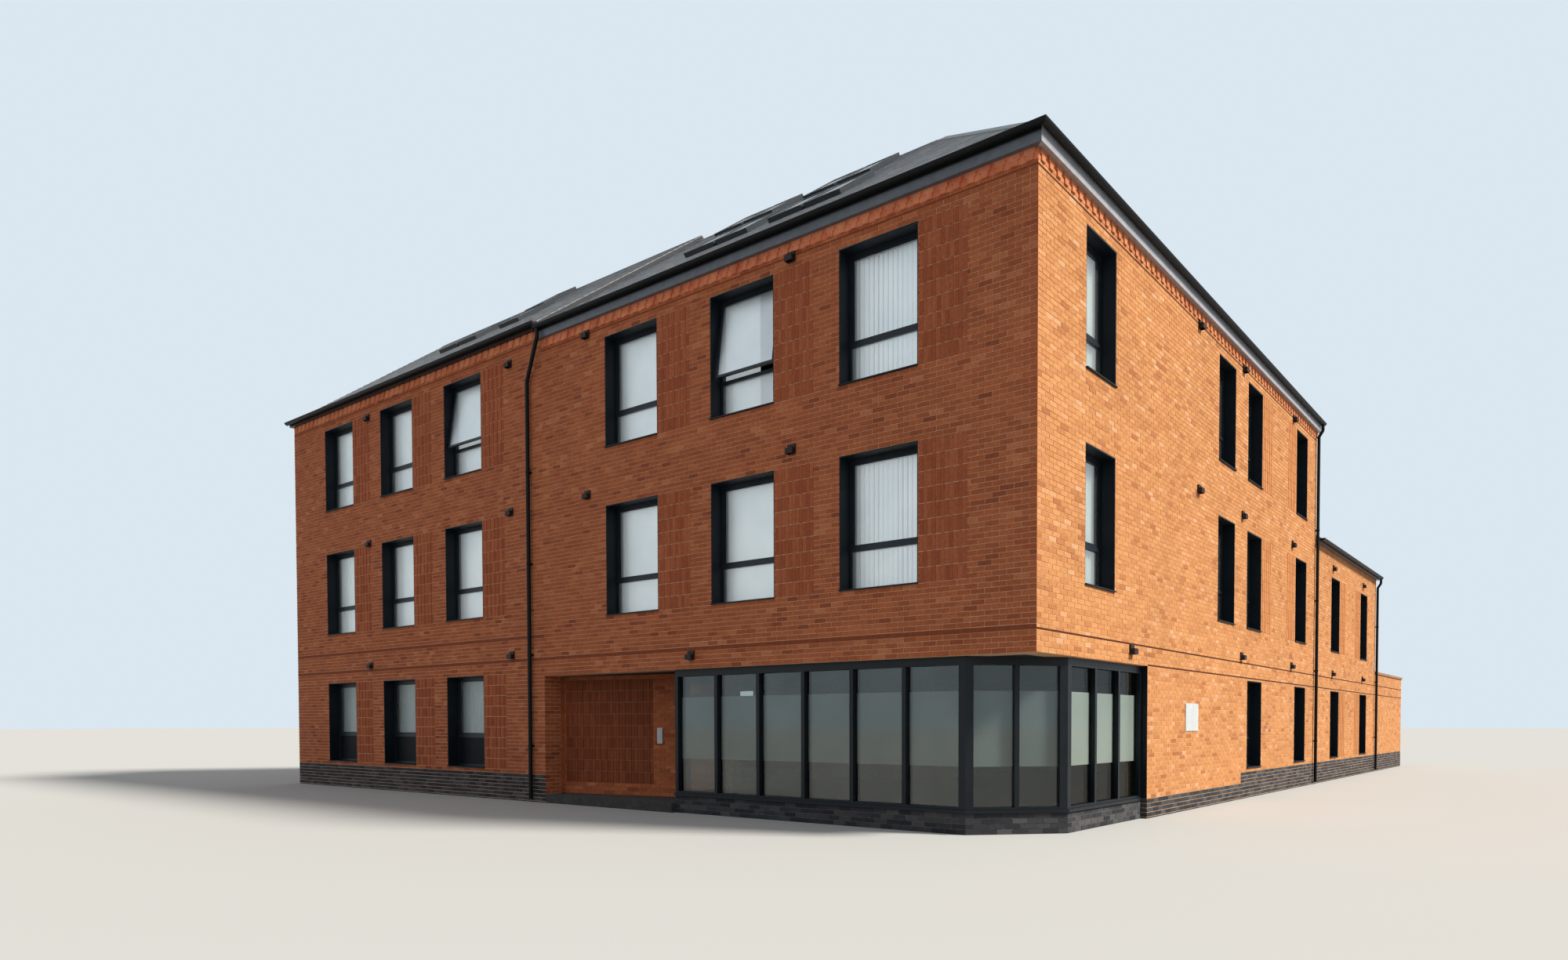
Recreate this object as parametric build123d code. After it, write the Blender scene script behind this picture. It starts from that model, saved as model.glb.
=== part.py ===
from build123d import *
import math
import os

# Corner shop building: three storeys of brick over an L-shaped plan, with a glazed shop on the
# cut-off corner, an entrance porch beside it and a lower wing and yard wall behind.
# Millimetres, +Z up. The front faces -Y and the side street front faces +X. Distances along a
# front are measured from the upper corner where the two fronts meet.

# Brickwork
BRICK = 225
COURSE = 75
FIRST_BED = 100
WALL = 350


def course(count):
    """Height of a bed joint, counted from the lowest course."""
    return FIRST_BED + count * COURSE


# Plan
FRONT_LENGTH = 96 * BRICK
STEP_AT = 48 * BRICK
RANGE_DEPTH = 8400
SIDE_LENGTH = 68 * BRICK
WING_LENGTH = 37 * BRICK
WING_DEPTH = 6000
YARD_LENGTH = 5200
YARD_WALL = 225
YARD_HEIGHT = 3200
WING_END = SIDE_LENGTH + WING_LENGTH

# Heights
STEP_UP = 3 * COURSE
SHOP_HEAD = course(32)
SECOND_BASE = course(80)
BRICK_TOP = course(119)
WING_TOP = course(82)
FIRST_SILL = course(46)
FIRST_HEAD = course(73)
SECOND_SILL = course(87)
SECOND_HEAD = course(114)
LOW_SILL = course(7)
LOW_HEAD = course(33)
SIDE_LOW_HEAD = course(31) + 40
FLOOR_TOP = 170
FLOOR = 250
FIRST_FLOOR = 2950
SECOND_FLOOR = 6025

# Windows
FRONT_OPENING = 1440
FRONT_PITCH = 2770
FRONT_FIRST = 1885
LEFT_MARGIN = 1690
LEFT_FIRST = FRONT_LENGTH - LEFT_MARGIN - FRONT_OPENING - 2 * FRONT_PITCH
SIDE_OPENING = 1060
SIDE_STARTS = (1460, 7410, 9310, 13280)
SIDE_LOW_STARTS = (9400, 13280)
WING_STARTS = (17150, 21140)
REVEAL = 230
LINING = 18
FRAME = 70
FRAME_FACE = 60
GLASS = 28
TRANSOM_SHARE = 0.31
SILL_OUT = 35
SPANDREL_SHARE = 0.33
SASH = 42
SASH_SET = 15
SASH_DEEP = 45
SASH_OPEN = 8
COURT_STARTS = (9700, 12700)
REAR_STARTS = (LEFT_FIRST, LEFT_FIRST + FRONT_PITCH, LEFT_FIRST + 2 * FRONT_PITCH)

# Shop and porch
SHOP_SIDE_END = 3870
SHOP_FRONT_END = 7125
SHOP_BACK = 100
CHAMFER = 1150
SHOP_SILL = 380
SHOP_HEAD_BAND = 120
SHOP_FRAME = 150
MULLION = 70
CORNER_POST = 230
PLINTH_TOP = 300
SHOP_SILL_THICK = 45
PORCH_NEAR = 1200
PORCH_FAR = 450
PORCH_WALL = 225
DOOR_HEAD = 2450
DOOR_STILE = 95
DOOR_SET = 10

# Roof
PITCH = math.radians(38)
EAVES_OUT = 100
EAVES_UP = 240
LEFT_EAVES_UP = 115
WING_EAVES_UP = 100
ROOF_THICK = 220
VERGE_OUT = 50
SLOPE = math.tan(PITCH)

# Eaves, gutters and pipes
GUTTER_RADIUS = 62
GUTTER_WALL = 6
GUTTER_DROP = 20
PIPE_RADIUS = 38
PIPE_WALL = 4
PIPE_GAP = 30
PIPE_BEND = 70
PIPE_FOOT = 60
RIDGE_HALF = 150
RIDGE_THICK = 22

# Toothed brick course under the eaves
TOOTH_OUT = PIPE_GAP - 2
TOOTH_NARROW = 102
TOOTH_WIDE = 160
TOOTH_BASE = course(117)
TOOTH_BACK = 8

# Vents and plates
VENT_WIDTH = 150
VENT_HEIGHT = 150
VENT_OUT = 95
VENT_WALL = 8
VENT_LEVELS = (course(34), course(37), course(75.5), course(115))
SHOP_FRONT_VENT = 6585
SHOP_SIDE_VENT = 3170
FRONT_VENTS = [4270, 9380]
LEFT_VENTS = [11880, 17700]
SIDE_LOW_VENTS = [8970, 12950]
SIDE_VENTS = [6270, 8970, 12950]
WING_VENTS = [17350, 21500]
PLATE_START = 5960
PLATE_WIDTH = 230
PLATE_HEIGHT = 490
PLATE_LOW = 1430
PLATE_THICK = 15
PANEL_AT = 2850
PANEL_WIDTH = 120
PANEL_HEIGHT = 200
PANEL_LOW = 1500
PANEL_THICK = 25

# Rooflights, placed by their left edge and their lower edge up the slope
ROOFLIGHT_WIDTH = 780
ROOFLIGHT_LENGTH = 1180
ROOFLIGHT_PROUD = 90
ROOFLIGHT_FRAME = 70

parts = {}


def block(x0, x1, y0, y1, z0, z1):
    """A box between two corners."""
    return Pos((x0 + x1) / 2, (y0 + y1) / 2, (z0 + z1) / 2) * Box(x1 - x0, y1 - y0, z1 - z0)


# Each of these places a box by distance along a wall, depth behind its outer face, and height.
def front(s0, s1, d0, d1, z0, z1):
    return block(-s1, -s0, d0, d1, z0, z1)


def side(s0, s1, d0, d1, z0, z1):
    return block(-d1, -d0, s0, s1, z0, z1)


def rear(s0, s1, d0, d1, z0, z1):
    return block(-s1, -s0, RANGE_DEPTH - d1, RANGE_DEPTH - d0, z0, z1)


def court(s0, s1, d0, d1, z0, z1):
    return block(-RANGE_DEPTH + d0, -RANGE_DEPTH + d1, s0, s1, z0, z1)


def wing_rear(s0, s1, d0, d1, z0, z1):
    return block(-WING_DEPTH + d0, -WING_DEPTH + d1, s0, s1, z0, z1)


def wall(face, s0, s1, z0, z1, holes):
    """A straight brick wall with its window openings cut through."""
    body = face(s0, s1, 0, WALL, z0, z1)
    for left, right, sill, head in holes:
        body -= face(left, right, -BRICK, WALL + BRICK, sill, head)
    return body


def row(starts, width, sill, head):
    return [(start, start + width, sill, head) for start in starts]


FRONT_STARTS = [FRONT_FIRST + i * FRONT_PITCH for i in range(3)]
LEFT_STARTS = [LEFT_FIRST + i * FRONT_PITCH for i in range(3)]

front_first = row(FRONT_STARTS, FRONT_OPENING, FIRST_SILL, FIRST_HEAD)
front_second = row(FRONT_STARTS, FRONT_OPENING, SECOND_SILL, SECOND_HEAD)
left_ground = row(LEFT_STARTS, FRONT_OPENING, LOW_SILL, LOW_HEAD)
left_first = row(LEFT_STARTS, FRONT_OPENING, FIRST_SILL + STEP_UP, FIRST_HEAD + STEP_UP)
left_second = row(LEFT_STARTS, FRONT_OPENING, SECOND_SILL + STEP_UP, SECOND_HEAD + STEP_UP)
side_ground = row(SIDE_LOW_STARTS, SIDE_OPENING, LOW_SILL, SIDE_LOW_HEAD)
side_first = row(SIDE_STARTS, SIDE_OPENING, FIRST_SILL, FIRST_HEAD)
side_second = row(SIDE_STARTS, SIDE_OPENING, SECOND_SILL, SECOND_HEAD)
wing_ground = row(WING_STARTS, SIDE_OPENING, LOW_SILL, SIDE_LOW_HEAD)
wing_first = row(WING_STARTS, SIDE_OPENING, FIRST_SILL, FIRST_HEAD)
rear_rows = [
    row(REAR_STARTS, FRONT_OPENING, LOW_SILL, LOW_HEAD),
    row(REAR_STARTS, FRONT_OPENING, FIRST_SILL + STEP_UP, FIRST_HEAD + STEP_UP),
    row(REAR_STARTS, FRONT_OPENING, SECOND_SILL + STEP_UP, SECOND_HEAD + STEP_UP),
]
court_rows = [
    row(COURT_STARTS, SIDE_OPENING, LOW_SILL, SIDE_LOW_HEAD),
    row(COURT_STARTS, SIDE_OPENING, FIRST_SILL, FIRST_HEAD),
    row(COURT_STARTS, SIDE_OPENING, SECOND_SILL, SECOND_HEAD),
]
wing_rear_rows = [
    row(WING_STARTS, SIDE_OPENING, LOW_SILL, SIDE_LOW_HEAD),
    row(WING_STARTS, SIDE_OPENING, FIRST_SILL, FIRST_HEAD),
]


def flat(rows):
    return [hole for one in rows for hole in one]


def prism(points, plane, length):
    """A straight extrusion of a polygon drawn on a plane."""
    with BuildPart() as made:
        with BuildSketch(plane):
            with BuildLine():
                Polyline(*points, close=True)
            make_face()
        extrude(amount=length)
    return made.part


def along_x(points, x0, x1):
    """Polygon of (y, z) points carried from x0 to x1."""
    return prism(points, Plane(origin=(x0, 0, 0), x_dir=(0, 1, 0), z_dir=(1, 0, 0)), x1 - x0)


def along_y(points, y0, y1):
    """Polygon of (x, z) points carried from y0 to y1."""
    flipped = [(-x, z) for x, z in points]
    return prism(flipped, Plane(origin=(0, y0, 0), x_dir=(-1, 0, 0), z_dir=(0, 1, 0)), y1 - y0)


def gable_profile(near, far, base, eaves):
    """A pitched section between two eaves lines."""
    middle = (near + far) / 2
    ridge = eaves + (far - near) / 2 * SLOPE
    return [(near, base), (near, eaves), (middle, ridge), (far, eaves), (far, base)]


def corner_roof(inset, base, eaves, step_end, gable_end):
    """Roof mass over the L: a hip at the street corner and a valley over the court."""
    reach = RANGE_DEPTH - inset
    high = eaves + 2 * RANGE_DEPTH
    over = high - eaves
    front_range = along_x(gable_profile(inset, reach, base, eaves), -step_end, -inset)
    side_range = along_y(
        [(-a, z) for a, z in gable_profile(inset, reach, base, eaves)], inset, gable_end
    )
    above_side = along_y(
        [(1 - inset, eaves), (1 - inset, high + SLOPE), (-inset - over / SLOPE, high), (-inset, eaves)],
        inset - 1, RANGE_DEPTH + 1,
    )
    above_front = along_x(
        [(inset - 1, eaves), (inset, eaves), (inset + over / SLOPE, high), (inset - 1, high)],
        -RANGE_DEPTH - 1, -inset + 1,
    )
    return (front_range - above_side) + (side_range - above_front)


def roof_underside(eaves_up, inset=WALL):
    """Height of the roof's underside above the brickwork, at the inner face of the wall."""
    return eaves_up + (EAVES_OUT + inset) * SLOPE - ROOF_THICK


def lining(face, hole):
    """The metal lining of a reveal, with its sill."""
    left, right, sill, head = hole
    body = face(left, right, 0, REVEAL, sill, head)
    body -= face(left + LINING, right - LINING, -1, REVEAL + 1, sill + LINING, head - LINING)
    return body + face(left, right, -SILL_OUT, 0, sill, sill + LINING)


INSET = REVEAL + (FRAME - GLASS) / 2


def open_sash(x0, x1, z0, z1):
    """A top-hung sash on the front, swung out at the bottom, and its pane."""
    hinge = Pos(0, REVEAL, z1) * Rot(-SASH_OPEN, 0, 0) * Pos(0, -REVEAL, -z1)
    leaf = front(x0, x1, REVEAL, REVEAL + SASH_DEEP, z0, z1 + SASH)
    leaf -= front(x0 + SASH, x1 - SASH, 0, REVEAL + FRAME, z0 + SASH, z1 - SASH)
    leaf = hinge * leaf - front(x0 - 1, x1 + 1, 0, REVEAL + FRAME, z1, z1 + 2 * SASH)
    set_back = REVEAL + SASH_SET
    pane = hinge * front(x0 + SASH, x1 - SASH, set_back, set_back + GLASS, z0 + SASH, z1 - SASH)
    return leaf, pane


def window(face, hole, share, swung):
    """A frame behind the reveal with a sash above, and the lower and upper panes."""
    left, right, sill, head = hole
    middle = sill + FRAME_FACE + share * (head - sill - 2 * FRAME_FACE)
    x0, x1 = left + FRAME_FACE, right - FRAME_FACE
    low = (sill + FRAME_FACE, middle - FRAME_FACE / 2)
    high = (middle + FRAME_FACE / 2, head - FRAME_FACE)
    through = (REVEAL - 1, REVEAL + FRAME + 1)
    body = face(left, right, REVEAL, REVEAL + FRAME, sill, head) - face(x0, x1, *through, *low)
    lower = face(x0, x1, INSET, INSET + GLASS, *low)
    if swung:
        leaf, upper = open_sash(x0, x1, *high)
        return [body - face(x0, x1, *through, *high), leaf], lower, upper
    rails = (x0 + SASH, x1 - SASH)
    light = (high[0] + SASH, high[1] - SASH)
    body -= face(x0, x1, REVEAL - 1, REVEAL + SASH_SET, *high)
    body -= face(*rails, *through, *light)
    return [body], lower, face(*rails, INSET, INSET + GLASS, *light)


window_frames = []
linings = []
swung_open = (front_second[1], left_second[0])


def windows(groups, share):
    """Adds linings and frames for groups of openings; returns the lower and upper panes."""
    lower_panes = []
    upper_panes = []
    for face, holes in groups:
        for hole in holes:
            swung = face is front and hole in swung_open
            frames, lower, upper = window(face, hole, share, swung)
            linings.append(lining(face, hole))
            window_frames.extend(frames)
            lower_panes.append(lower)
            upper_panes.append(upper)
    return lower_panes, upper_panes


# Walls
parts["front_wall_left_ground"] = wall(
    front, STEP_AT, FRONT_LENGTH - WALL, 0, SHOP_HEAD + STEP_UP, left_ground
)
parts["front_wall_left_first"] = wall(
    front, STEP_AT, FRONT_LENGTH - WALL, SHOP_HEAD + STEP_UP, SECOND_BASE + STEP_UP, left_first
)
parts["front_wall_left_second"] = wall(
    front, STEP_AT, FRONT_LENGTH - WALL, SECOND_BASE + STEP_UP, BRICK_TOP + STEP_UP, left_second
)
parts["front_wall_right_first"] = wall(front, 0, STEP_AT, SHOP_HEAD, SECOND_BASE, front_first)
parts["front_wall_right_second"] = wall(front, 0, STEP_AT, SECOND_BASE, BRICK_TOP, front_second)
parts["side_wall_ground"] = wall(side, SHOP_SIDE_END, SIDE_LENGTH, 0, SHOP_HEAD, side_ground)
parts["side_wall_first"] = wall(side, WALL, SIDE_LENGTH, SHOP_HEAD, SECOND_BASE, side_first)
parts["side_wall_second"] = wall(side, WALL, SIDE_LENGTH, SECOND_BASE, BRICK_TOP, side_second)
parts["wing_wall_ground"] = wall(side, SIDE_LENGTH, WING_END, 0, SHOP_HEAD, wing_ground)
parts["wing_wall_first"] = wall(side, SIDE_LENGTH, WING_END, SHOP_HEAD, WING_TOP, wing_first)
parts["wing_rear_wall"] = wall(
    wing_rear, SIDE_LENGTH, WING_END - WALL, 0, WING_TOP, flat(wing_rear_rows)
)
parts["court_wall"] = wall(
    court, RANGE_DEPTH - WALL, SIDE_LENGTH - WALL, 0, BRICK_TOP, flat(court_rows)
)
rear_top = BRICK_TOP + STEP_UP
parts["rear_wall"] = wall(
    rear, STEP_AT, FRONT_LENGTH - WALL, 0, rear_top, flat(rear_rows)
) + rear(RANGE_DEPTH, STEP_AT, 0, WALL, 0, BRICK_TOP)


left_under = roof_underside(LEFT_EAVES_UP)
main_under = roof_underside(EAVES_UP)
wing_under = roof_underside(WING_EAVES_UP)

party = block(-FRONT_LENGTH, -FRONT_LENGTH + WALL, 0, RANGE_DEPTH, 0, BRICK_TOP + STEP_UP)
party += along_x(
    gable_profile(WALL, RANGE_DEPTH - WALL, BRICK_TOP + STEP_UP, BRICK_TOP + STEP_UP + left_under),
    -FRONT_LENGTH, -FRONT_LENGTH + WALL,
)
parts["party_wall"] = party

end_wall = block(-RANGE_DEPTH, -WALL, SIDE_LENGTH - WALL, SIDE_LENGTH, 0, BRICK_TOP)
end_wall += along_y(
    [(-a, z) for a, z in gable_profile(WALL, RANGE_DEPTH - WALL, BRICK_TOP, BRICK_TOP + main_under)],
    SIDE_LENGTH - WALL, SIDE_LENGTH,
)
parts["side_end_wall"] = end_wall

wing_end = block(-WING_DEPTH, -WALL, WING_END - WALL, WING_END, 0, WING_TOP)
wing_end += along_y(
    [(-a, z) for a, z in gable_profile(WALL, WING_DEPTH - WALL, WING_TOP, WING_TOP + wing_under)],
    WING_END - WALL, WING_END,
)
parts["wing_end_wall"] = wing_end

parts["yard_wall"] = block(-YARD_WALL, 0, WING_END, WING_END + YARD_LENGTH, 0, YARD_HEIGHT)
parts["yard_wall_coping"] = block(
    -YARD_WALL - 40, 40, WING_END, WING_END + YARD_LENGTH + 40, YARD_HEIGHT, YARD_HEIGHT + 75
)

# Floors
inner = RANGE_DEPTH - WALL


left_floors = []
front_floors = []
side_floors = []
for top in (FIRST_FLOOR, SECOND_FLOOR):
    raised = (top - FLOOR + STEP_UP, top + STEP_UP)
    left_floors.append(block(-FRONT_LENGTH + WALL, -STEP_AT, WALL, inner, *raised))
    front_floors.append(block(-STEP_AT, -WALL, WALL, inner, top - FLOOR, top))
    side_floors.append(block(-inner, -WALL, inner, SIDE_LENGTH - WALL, top - FLOOR, top))
wing_room = (-WING_DEPTH + WALL, -WALL, SIDE_LENGTH, WING_END - WALL)
side_floors.append(block(*wing_room, FIRST_FLOOR - FLOOR, FIRST_FLOOR))


def shop_line(depth):
    """The shop window's line, round the cut corner, at a depth behind its outer face."""
    back = SHOP_BACK + depth
    shift = depth * math.tan(math.radians(22.5))
    return [
        (-SHOP_FRONT_END, back),
        (-CHAMFER - shift, back),
        (-back, CHAMFER + shift),
        (-back, SHOP_SIDE_END),
    ]


def shop_band(near, far, z0, z1):
    return prism(shop_line(near) + shop_line(far)[::-1], Plane.XY.offset(z0), z1 - z0)


# Ground floor: a slab whose street corner is cut back under the shop window
shop_inside = shop_line(SHOP_FRAME)
ground_outline = [
    (-STEP_AT, 0),
    (-SHOP_FRONT_END, 0),
    *shop_inside,
    (-WALL, SHOP_SIDE_END),
    (-WALL, inner),
    (-STEP_AT, inner),
]
front_floors.append(prism(ground_outline, Plane.XY, FLOOR_TOP))
left_floors.append(block(-FRONT_LENGTH + WALL, -STEP_AT, WALL, inner, 0, FLOOR_TOP + STEP_UP))
side_floors.append(block(-inner, -WALL, inner, SIDE_LENGTH - WALL, 0, FLOOR_TOP))
side_floors.append(block(*wing_room, 0, FLOOR_TOP))
parts["left_floors"] = left_floors
parts["front_floors"] = front_floors
parts["side_floors"] = side_floors

# Roofs: the L-shaped shell is divided along its hip, valley and ridges
def half_space(sign):
    """Everything on one side of the corner's diagonal, where x + y is zero."""
    far = 2 * FRONT_LENGTH
    return prism([(-far, far), (far, -far), (sign * far, sign * far)], Plane.XY, 2 * BRICK_TOP)


half_range = RANGE_DEPTH / 2
void = corner_roof(WALL, BRICK_TOP - 1, BRICK_TOP + main_under, STEP_AT + 1, SIDE_LENGTH + VERGE_OUT + 1)
shell = corner_roof(
    -EAVES_OUT, BRICK_TOP, BRICK_TOP + EAVES_UP, STEP_AT, SIDE_LENGTH + VERGE_OUT
) - void
street_side = block(-2 * FRONT_LENGTH, FRONT_LENGTH, -FRONT_LENGTH, half_range, 0, 2 * BRICK_TOP)
street_edge = block(-half_range, FRONT_LENGTH, -FRONT_LENGTH, 2 * FRONT_LENGTH, 0, 2 * BRICK_TOP)
front_shell = shell - half_space(1)
side_shell = shell - half_space(-1)
parts["front_roof_street_slope"] = front_shell & street_side
parts["front_roof_court_slope"] = front_shell - street_side
parts["side_roof_street_slope"] = side_shell & street_edge
parts["side_roof_court_slope"] = side_shell - street_edge

left_base = BRICK_TOP + STEP_UP
left_roof = along_x(
    gable_profile(-EAVES_OUT, RANGE_DEPTH + EAVES_OUT, left_base, left_base + LEFT_EAVES_UP),
    -FRONT_LENGTH - VERGE_OUT, -STEP_AT,
)
left_roof -= along_x(
    gable_profile(WALL, inner, left_base - 1, left_base + left_under),
    -FRONT_LENGTH - VERGE_OUT - 1, -STEP_AT + 1,
)
parts["left_roof_street_slope"] = left_roof & street_side
parts["left_roof_court_slope"] = left_roof - street_side

wing_roof = along_y(
    [(-a, z) for a, z in gable_profile(
        -EAVES_OUT, WING_DEPTH + EAVES_OUT, WING_TOP, WING_TOP + WING_EAVES_UP)],
    SIDE_LENGTH, WING_END + VERGE_OUT,
)
wing_roof -= along_y(
    [(-a, z) for a, z in gable_profile(WALL, WING_DEPTH - WALL, WING_TOP - 1, WING_TOP + wing_under)],
    SIDE_LENGTH - 1, WING_END + VERGE_OUT + 1,
)
parts["wing_roof"] = wing_roof

# Windows
spandrels, low_glass = windows([
    (front, left_ground), (side, side_ground), (side, wing_ground),
    (rear, rear_rows[0]), (court, court_rows[0]), (wing_rear, wing_rear_rows[0]),
], SPANDREL_SHARE)
lower_glass, upper_glass = windows([
    (front, front_first), (front, left_first), (side, side_first), (side, wing_first),
    (rear, rear_rows[1]), (court, court_rows[1]), (wing_rear, wing_rear_rows[1]),
    (front, front_second), (front, left_second), (side, side_second),
    (rear, rear_rows[2]), (court, court_rows[2]),
], TRANSOM_SHARE)
parts["window_frames"] = window_frames
parts["reveal_linings"] = linings
parts["window_panels"] = spandrels
parts["window_glass"] = low_glass + lower_glass + upper_glass

# Shopfront: a framed screen that follows the front, the cut corner and the side street
SHOP_BAYS = (6, 2, 3)
shop_outside = shop_line(0)


def run_plane(start, end):
    """A plane whose X runs along the screen and whose Y points into the shop."""
    direction = Vector(end[0] - start[0], end[1] - start[1], 0).normalized()
    return Plane(origin=(start[0], start[1], 0), x_dir=direction, z_dir=(0, 0, 1))


shop_frame = shop_band(0, SHOP_FRAME, PLINTH_TOP, SHOP_HEAD)
shop_frame += shop_band(-SILL_OUT, 0, PLINTH_TOP, PLINTH_TOP + SHOP_SILL_THICK)
shop_glass = []
for index, bays in enumerate(SHOP_BAYS):
    start, end = shop_outside[index], shop_outside[index + 1]
    place = run_plane(start, end).location
    length = math.dist(start, end)
    left_post = CORNER_POST / 2 if index > 0 else MULLION
    right_post = CORNER_POST / 2 if index < len(SHOP_BAYS) - 1 else MULLION
    bay = (length - left_post - right_post + MULLION) / bays
    low = SHOP_SILL
    high = SHOP_HEAD - SHOP_HEAD_BAND
    for i in range(bays):
        x0 = left_post + i * bay
        x1 = x0 + bay - MULLION
        shop_frame -= place * block(x0, x1, -1, SHOP_FRAME + 1, low, high)
        y0 = (SHOP_FRAME - GLASS) / 2
        shop_glass.append(place * block(x0, x1, y0, y0 + GLASS, low, high))
parts["shopfront_frame"] = shop_frame
parts["shop_plinth"] = shop_band(0, SHOP_FRAME, 0, PLINTH_TOP)

# Soffit over the cut corner, between the walls above and the shop window
soffit_leg = SHOP_BACK + CHAMFER + SHOP_FRAME * math.sqrt(2) - WALL
corner_soffit = prism(
    [(-WALL, WALL), (-soffit_leg, WALL), (-WALL, soffit_leg)],
    Plane.XY.offset(SHOP_HEAD), FIRST_FLOOR - FLOOR - SHOP_HEAD,
)

# Porch: an angled back wall, the soffit and the shop's flank with the entrance
porch_top = FIRST_FLOOR - FLOOR
porch_lean = (PORCH_NEAR - PORCH_FAR) / (STEP_AT - SHOP_FRONT_END)
porch_wall = [
    (-STEP_AT, PORCH_FAR),
    (-SHOP_FRONT_END + PORCH_WALL, PORCH_NEAR + PORCH_WALL * porch_lean),
    (-SHOP_FRONT_END + PORCH_WALL, PORCH_NEAR + PORCH_WALL * porch_lean + PORCH_WALL),
    (-STEP_AT, PORCH_FAR + PORCH_WALL),
]
porch_back = prism(porch_wall, Plane.XY.offset(FLOOR_TOP), porch_top - FLOOR_TOP)
porch_back += block(
    -STEP_AT - PORCH_WALL, -STEP_AT, WALL, PORCH_FAR + PORCH_WALL, FLOOR_TOP + STEP_UP, porch_top + STEP_UP
)
parts["porch_back_wall"] = porch_back
soffit_end = -SHOP_FRONT_END + FRAME
porch_soffit = prism(
    [
        (-STEP_AT, WALL), (soffit_end, WALL),
        (soffit_end, PORCH_NEAR + FRAME * porch_lean), (-STEP_AT, PORCH_FAR),
    ],
    Plane.XY.offset(SHOP_HEAD), porch_top - SHOP_HEAD,
)
parts["soffits"] = [corner_soffit, porch_soffit]
door_start = SHOP_BACK + SHOP_FRAME
door_frame = block(-SHOP_FRONT_END, -SHOP_FRONT_END + FRAME, door_start, PORCH_NEAR, FLOOR_TOP, SHOP_HEAD)
door_frame -= block(
    -SHOP_FRONT_END - 1, -SHOP_FRONT_END + FRAME + 1,
    door_start + FRAME_FACE, PORCH_NEAR - FRAME_FACE, FLOOR_TOP, DOOR_HEAD - FRAME_FACE,
)
parts["entrance_frame"] = door_frame
leaf_edges = (door_start + FRAME_FACE, PORCH_NEAR - FRAME_FACE, FLOOR_TOP, DOOR_HEAD - FRAME_FACE)
leaf = block(-SHOP_FRONT_END + DOOR_SET, -SHOP_FRONT_END + FRAME - DOOR_SET, *leaf_edges)
leaf_pane = (
    leaf_edges[0] + DOOR_STILE, leaf_edges[1] - DOOR_STILE,
    leaf_edges[2] + 2 * DOOR_STILE, leaf_edges[3] - DOOR_STILE,
)
leaf -= block(-SHOP_FRONT_END, -SHOP_FRONT_END + FRAME, *leaf_pane)
parts["entrance_door"] = leaf
door_middle = -SHOP_FRONT_END + FRAME / 2
shop_glass.append(block(door_middle - GLASS / 2, door_middle + GLASS / 2, *leaf_pane))
parts["shop_glass"] = shop_glass

# Rooflights, cut through the slopes and framed
def on_slope(along, up):
    """A location on the front slope, X to the right along the eaves and Y up the slope."""
    base = BRICK_TOP + EAVES_UP if along < STEP_AT else BRICK_TOP + STEP_UP + LEFT_EAVES_UP
    return Plane(
        origin=(-along, -EAVES_OUT + up * math.cos(PITCH), base + up * math.sin(PITCH)),
        x_dir=(1, 0, 0), z_dir=(0, -math.sin(PITCH), math.cos(PITCH)),
    ).location


LOW_ROW = 1750
MIDDLE_ROW = 2350
HIGH_ROW = 3950
ROOFLIGHTS = [(along, LOW_ROW) for along in (8100, 7250, 5950, 5100)]
ROOFLIGHTS += [(along, HIGH_ROW) for along in (9100, 8250, 6650, 5800, 15850)]
ROOFLIGHTS += [(along, MIDDLE_ROW) for along in (17600, 16750, 15000)]
rooflight_frames = []
rooflight_glass = []
for along, up in ROOFLIGHTS:
    place = on_slope(along, up)
    hole = place * block(0, ROOFLIGHT_WIDTH, 0, ROOFLIGHT_LENGTH, -2 * ROOF_THICK, ROOF_THICK)
    target = "left" if along > STEP_AT else "front"
    parts[f"{target}_roof_street_slope"] -= hole
    ring = place * block(0, ROOFLIGHT_WIDTH, 0, ROOFLIGHT_LENGTH, -ROOF_THICK / 2, ROOFLIGHT_PROUD)
    inside = (
        ROOFLIGHT_FRAME, ROOFLIGHT_WIDTH - ROOFLIGHT_FRAME,
        ROOFLIGHT_FRAME, ROOFLIGHT_LENGTH - ROOFLIGHT_FRAME,
    )
    rooflight_frames.append(ring - place * block(*inside, -ROOF_THICK, ROOF_THICK))
    rooflight_glass.append(place * block(*inside, ROOFLIGHT_PROUD - 10 - GLASS, ROOFLIGHT_PROUD - 10))
parts["rooflight_frames"] = rooflight_frames
parts["rooflight_glass"] = rooflight_glass


# Ridge and hip tiles: angled caps that sit on both slopes
def cap(start, end, fall):
    """A cap from start to end; fall is the drop of the slopes for each unit sideways."""
    direction = (Vector(*end) - Vector(*start)).normalized()
    sideways = Vector(-direction.Y, direction.X, 0).normalized()
    plane = Plane(origin=start, x_dir=sideways, z_dir=direction)
    upward = 1 if plane.y_dir.Z > 0 else -1
    drop = upward * RIDGE_HALF * fall
    thick = upward * RIDGE_THICK
    section = [
        (0, 0), (-RIDGE_HALF, -drop), (-RIDGE_HALF, thick - drop),
        (0, thick), (RIDGE_HALF, thick - drop), (RIDGE_HALF, -drop),
    ]
    return prism(section, plane, (Vector(*end) - Vector(*start)).length)


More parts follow.
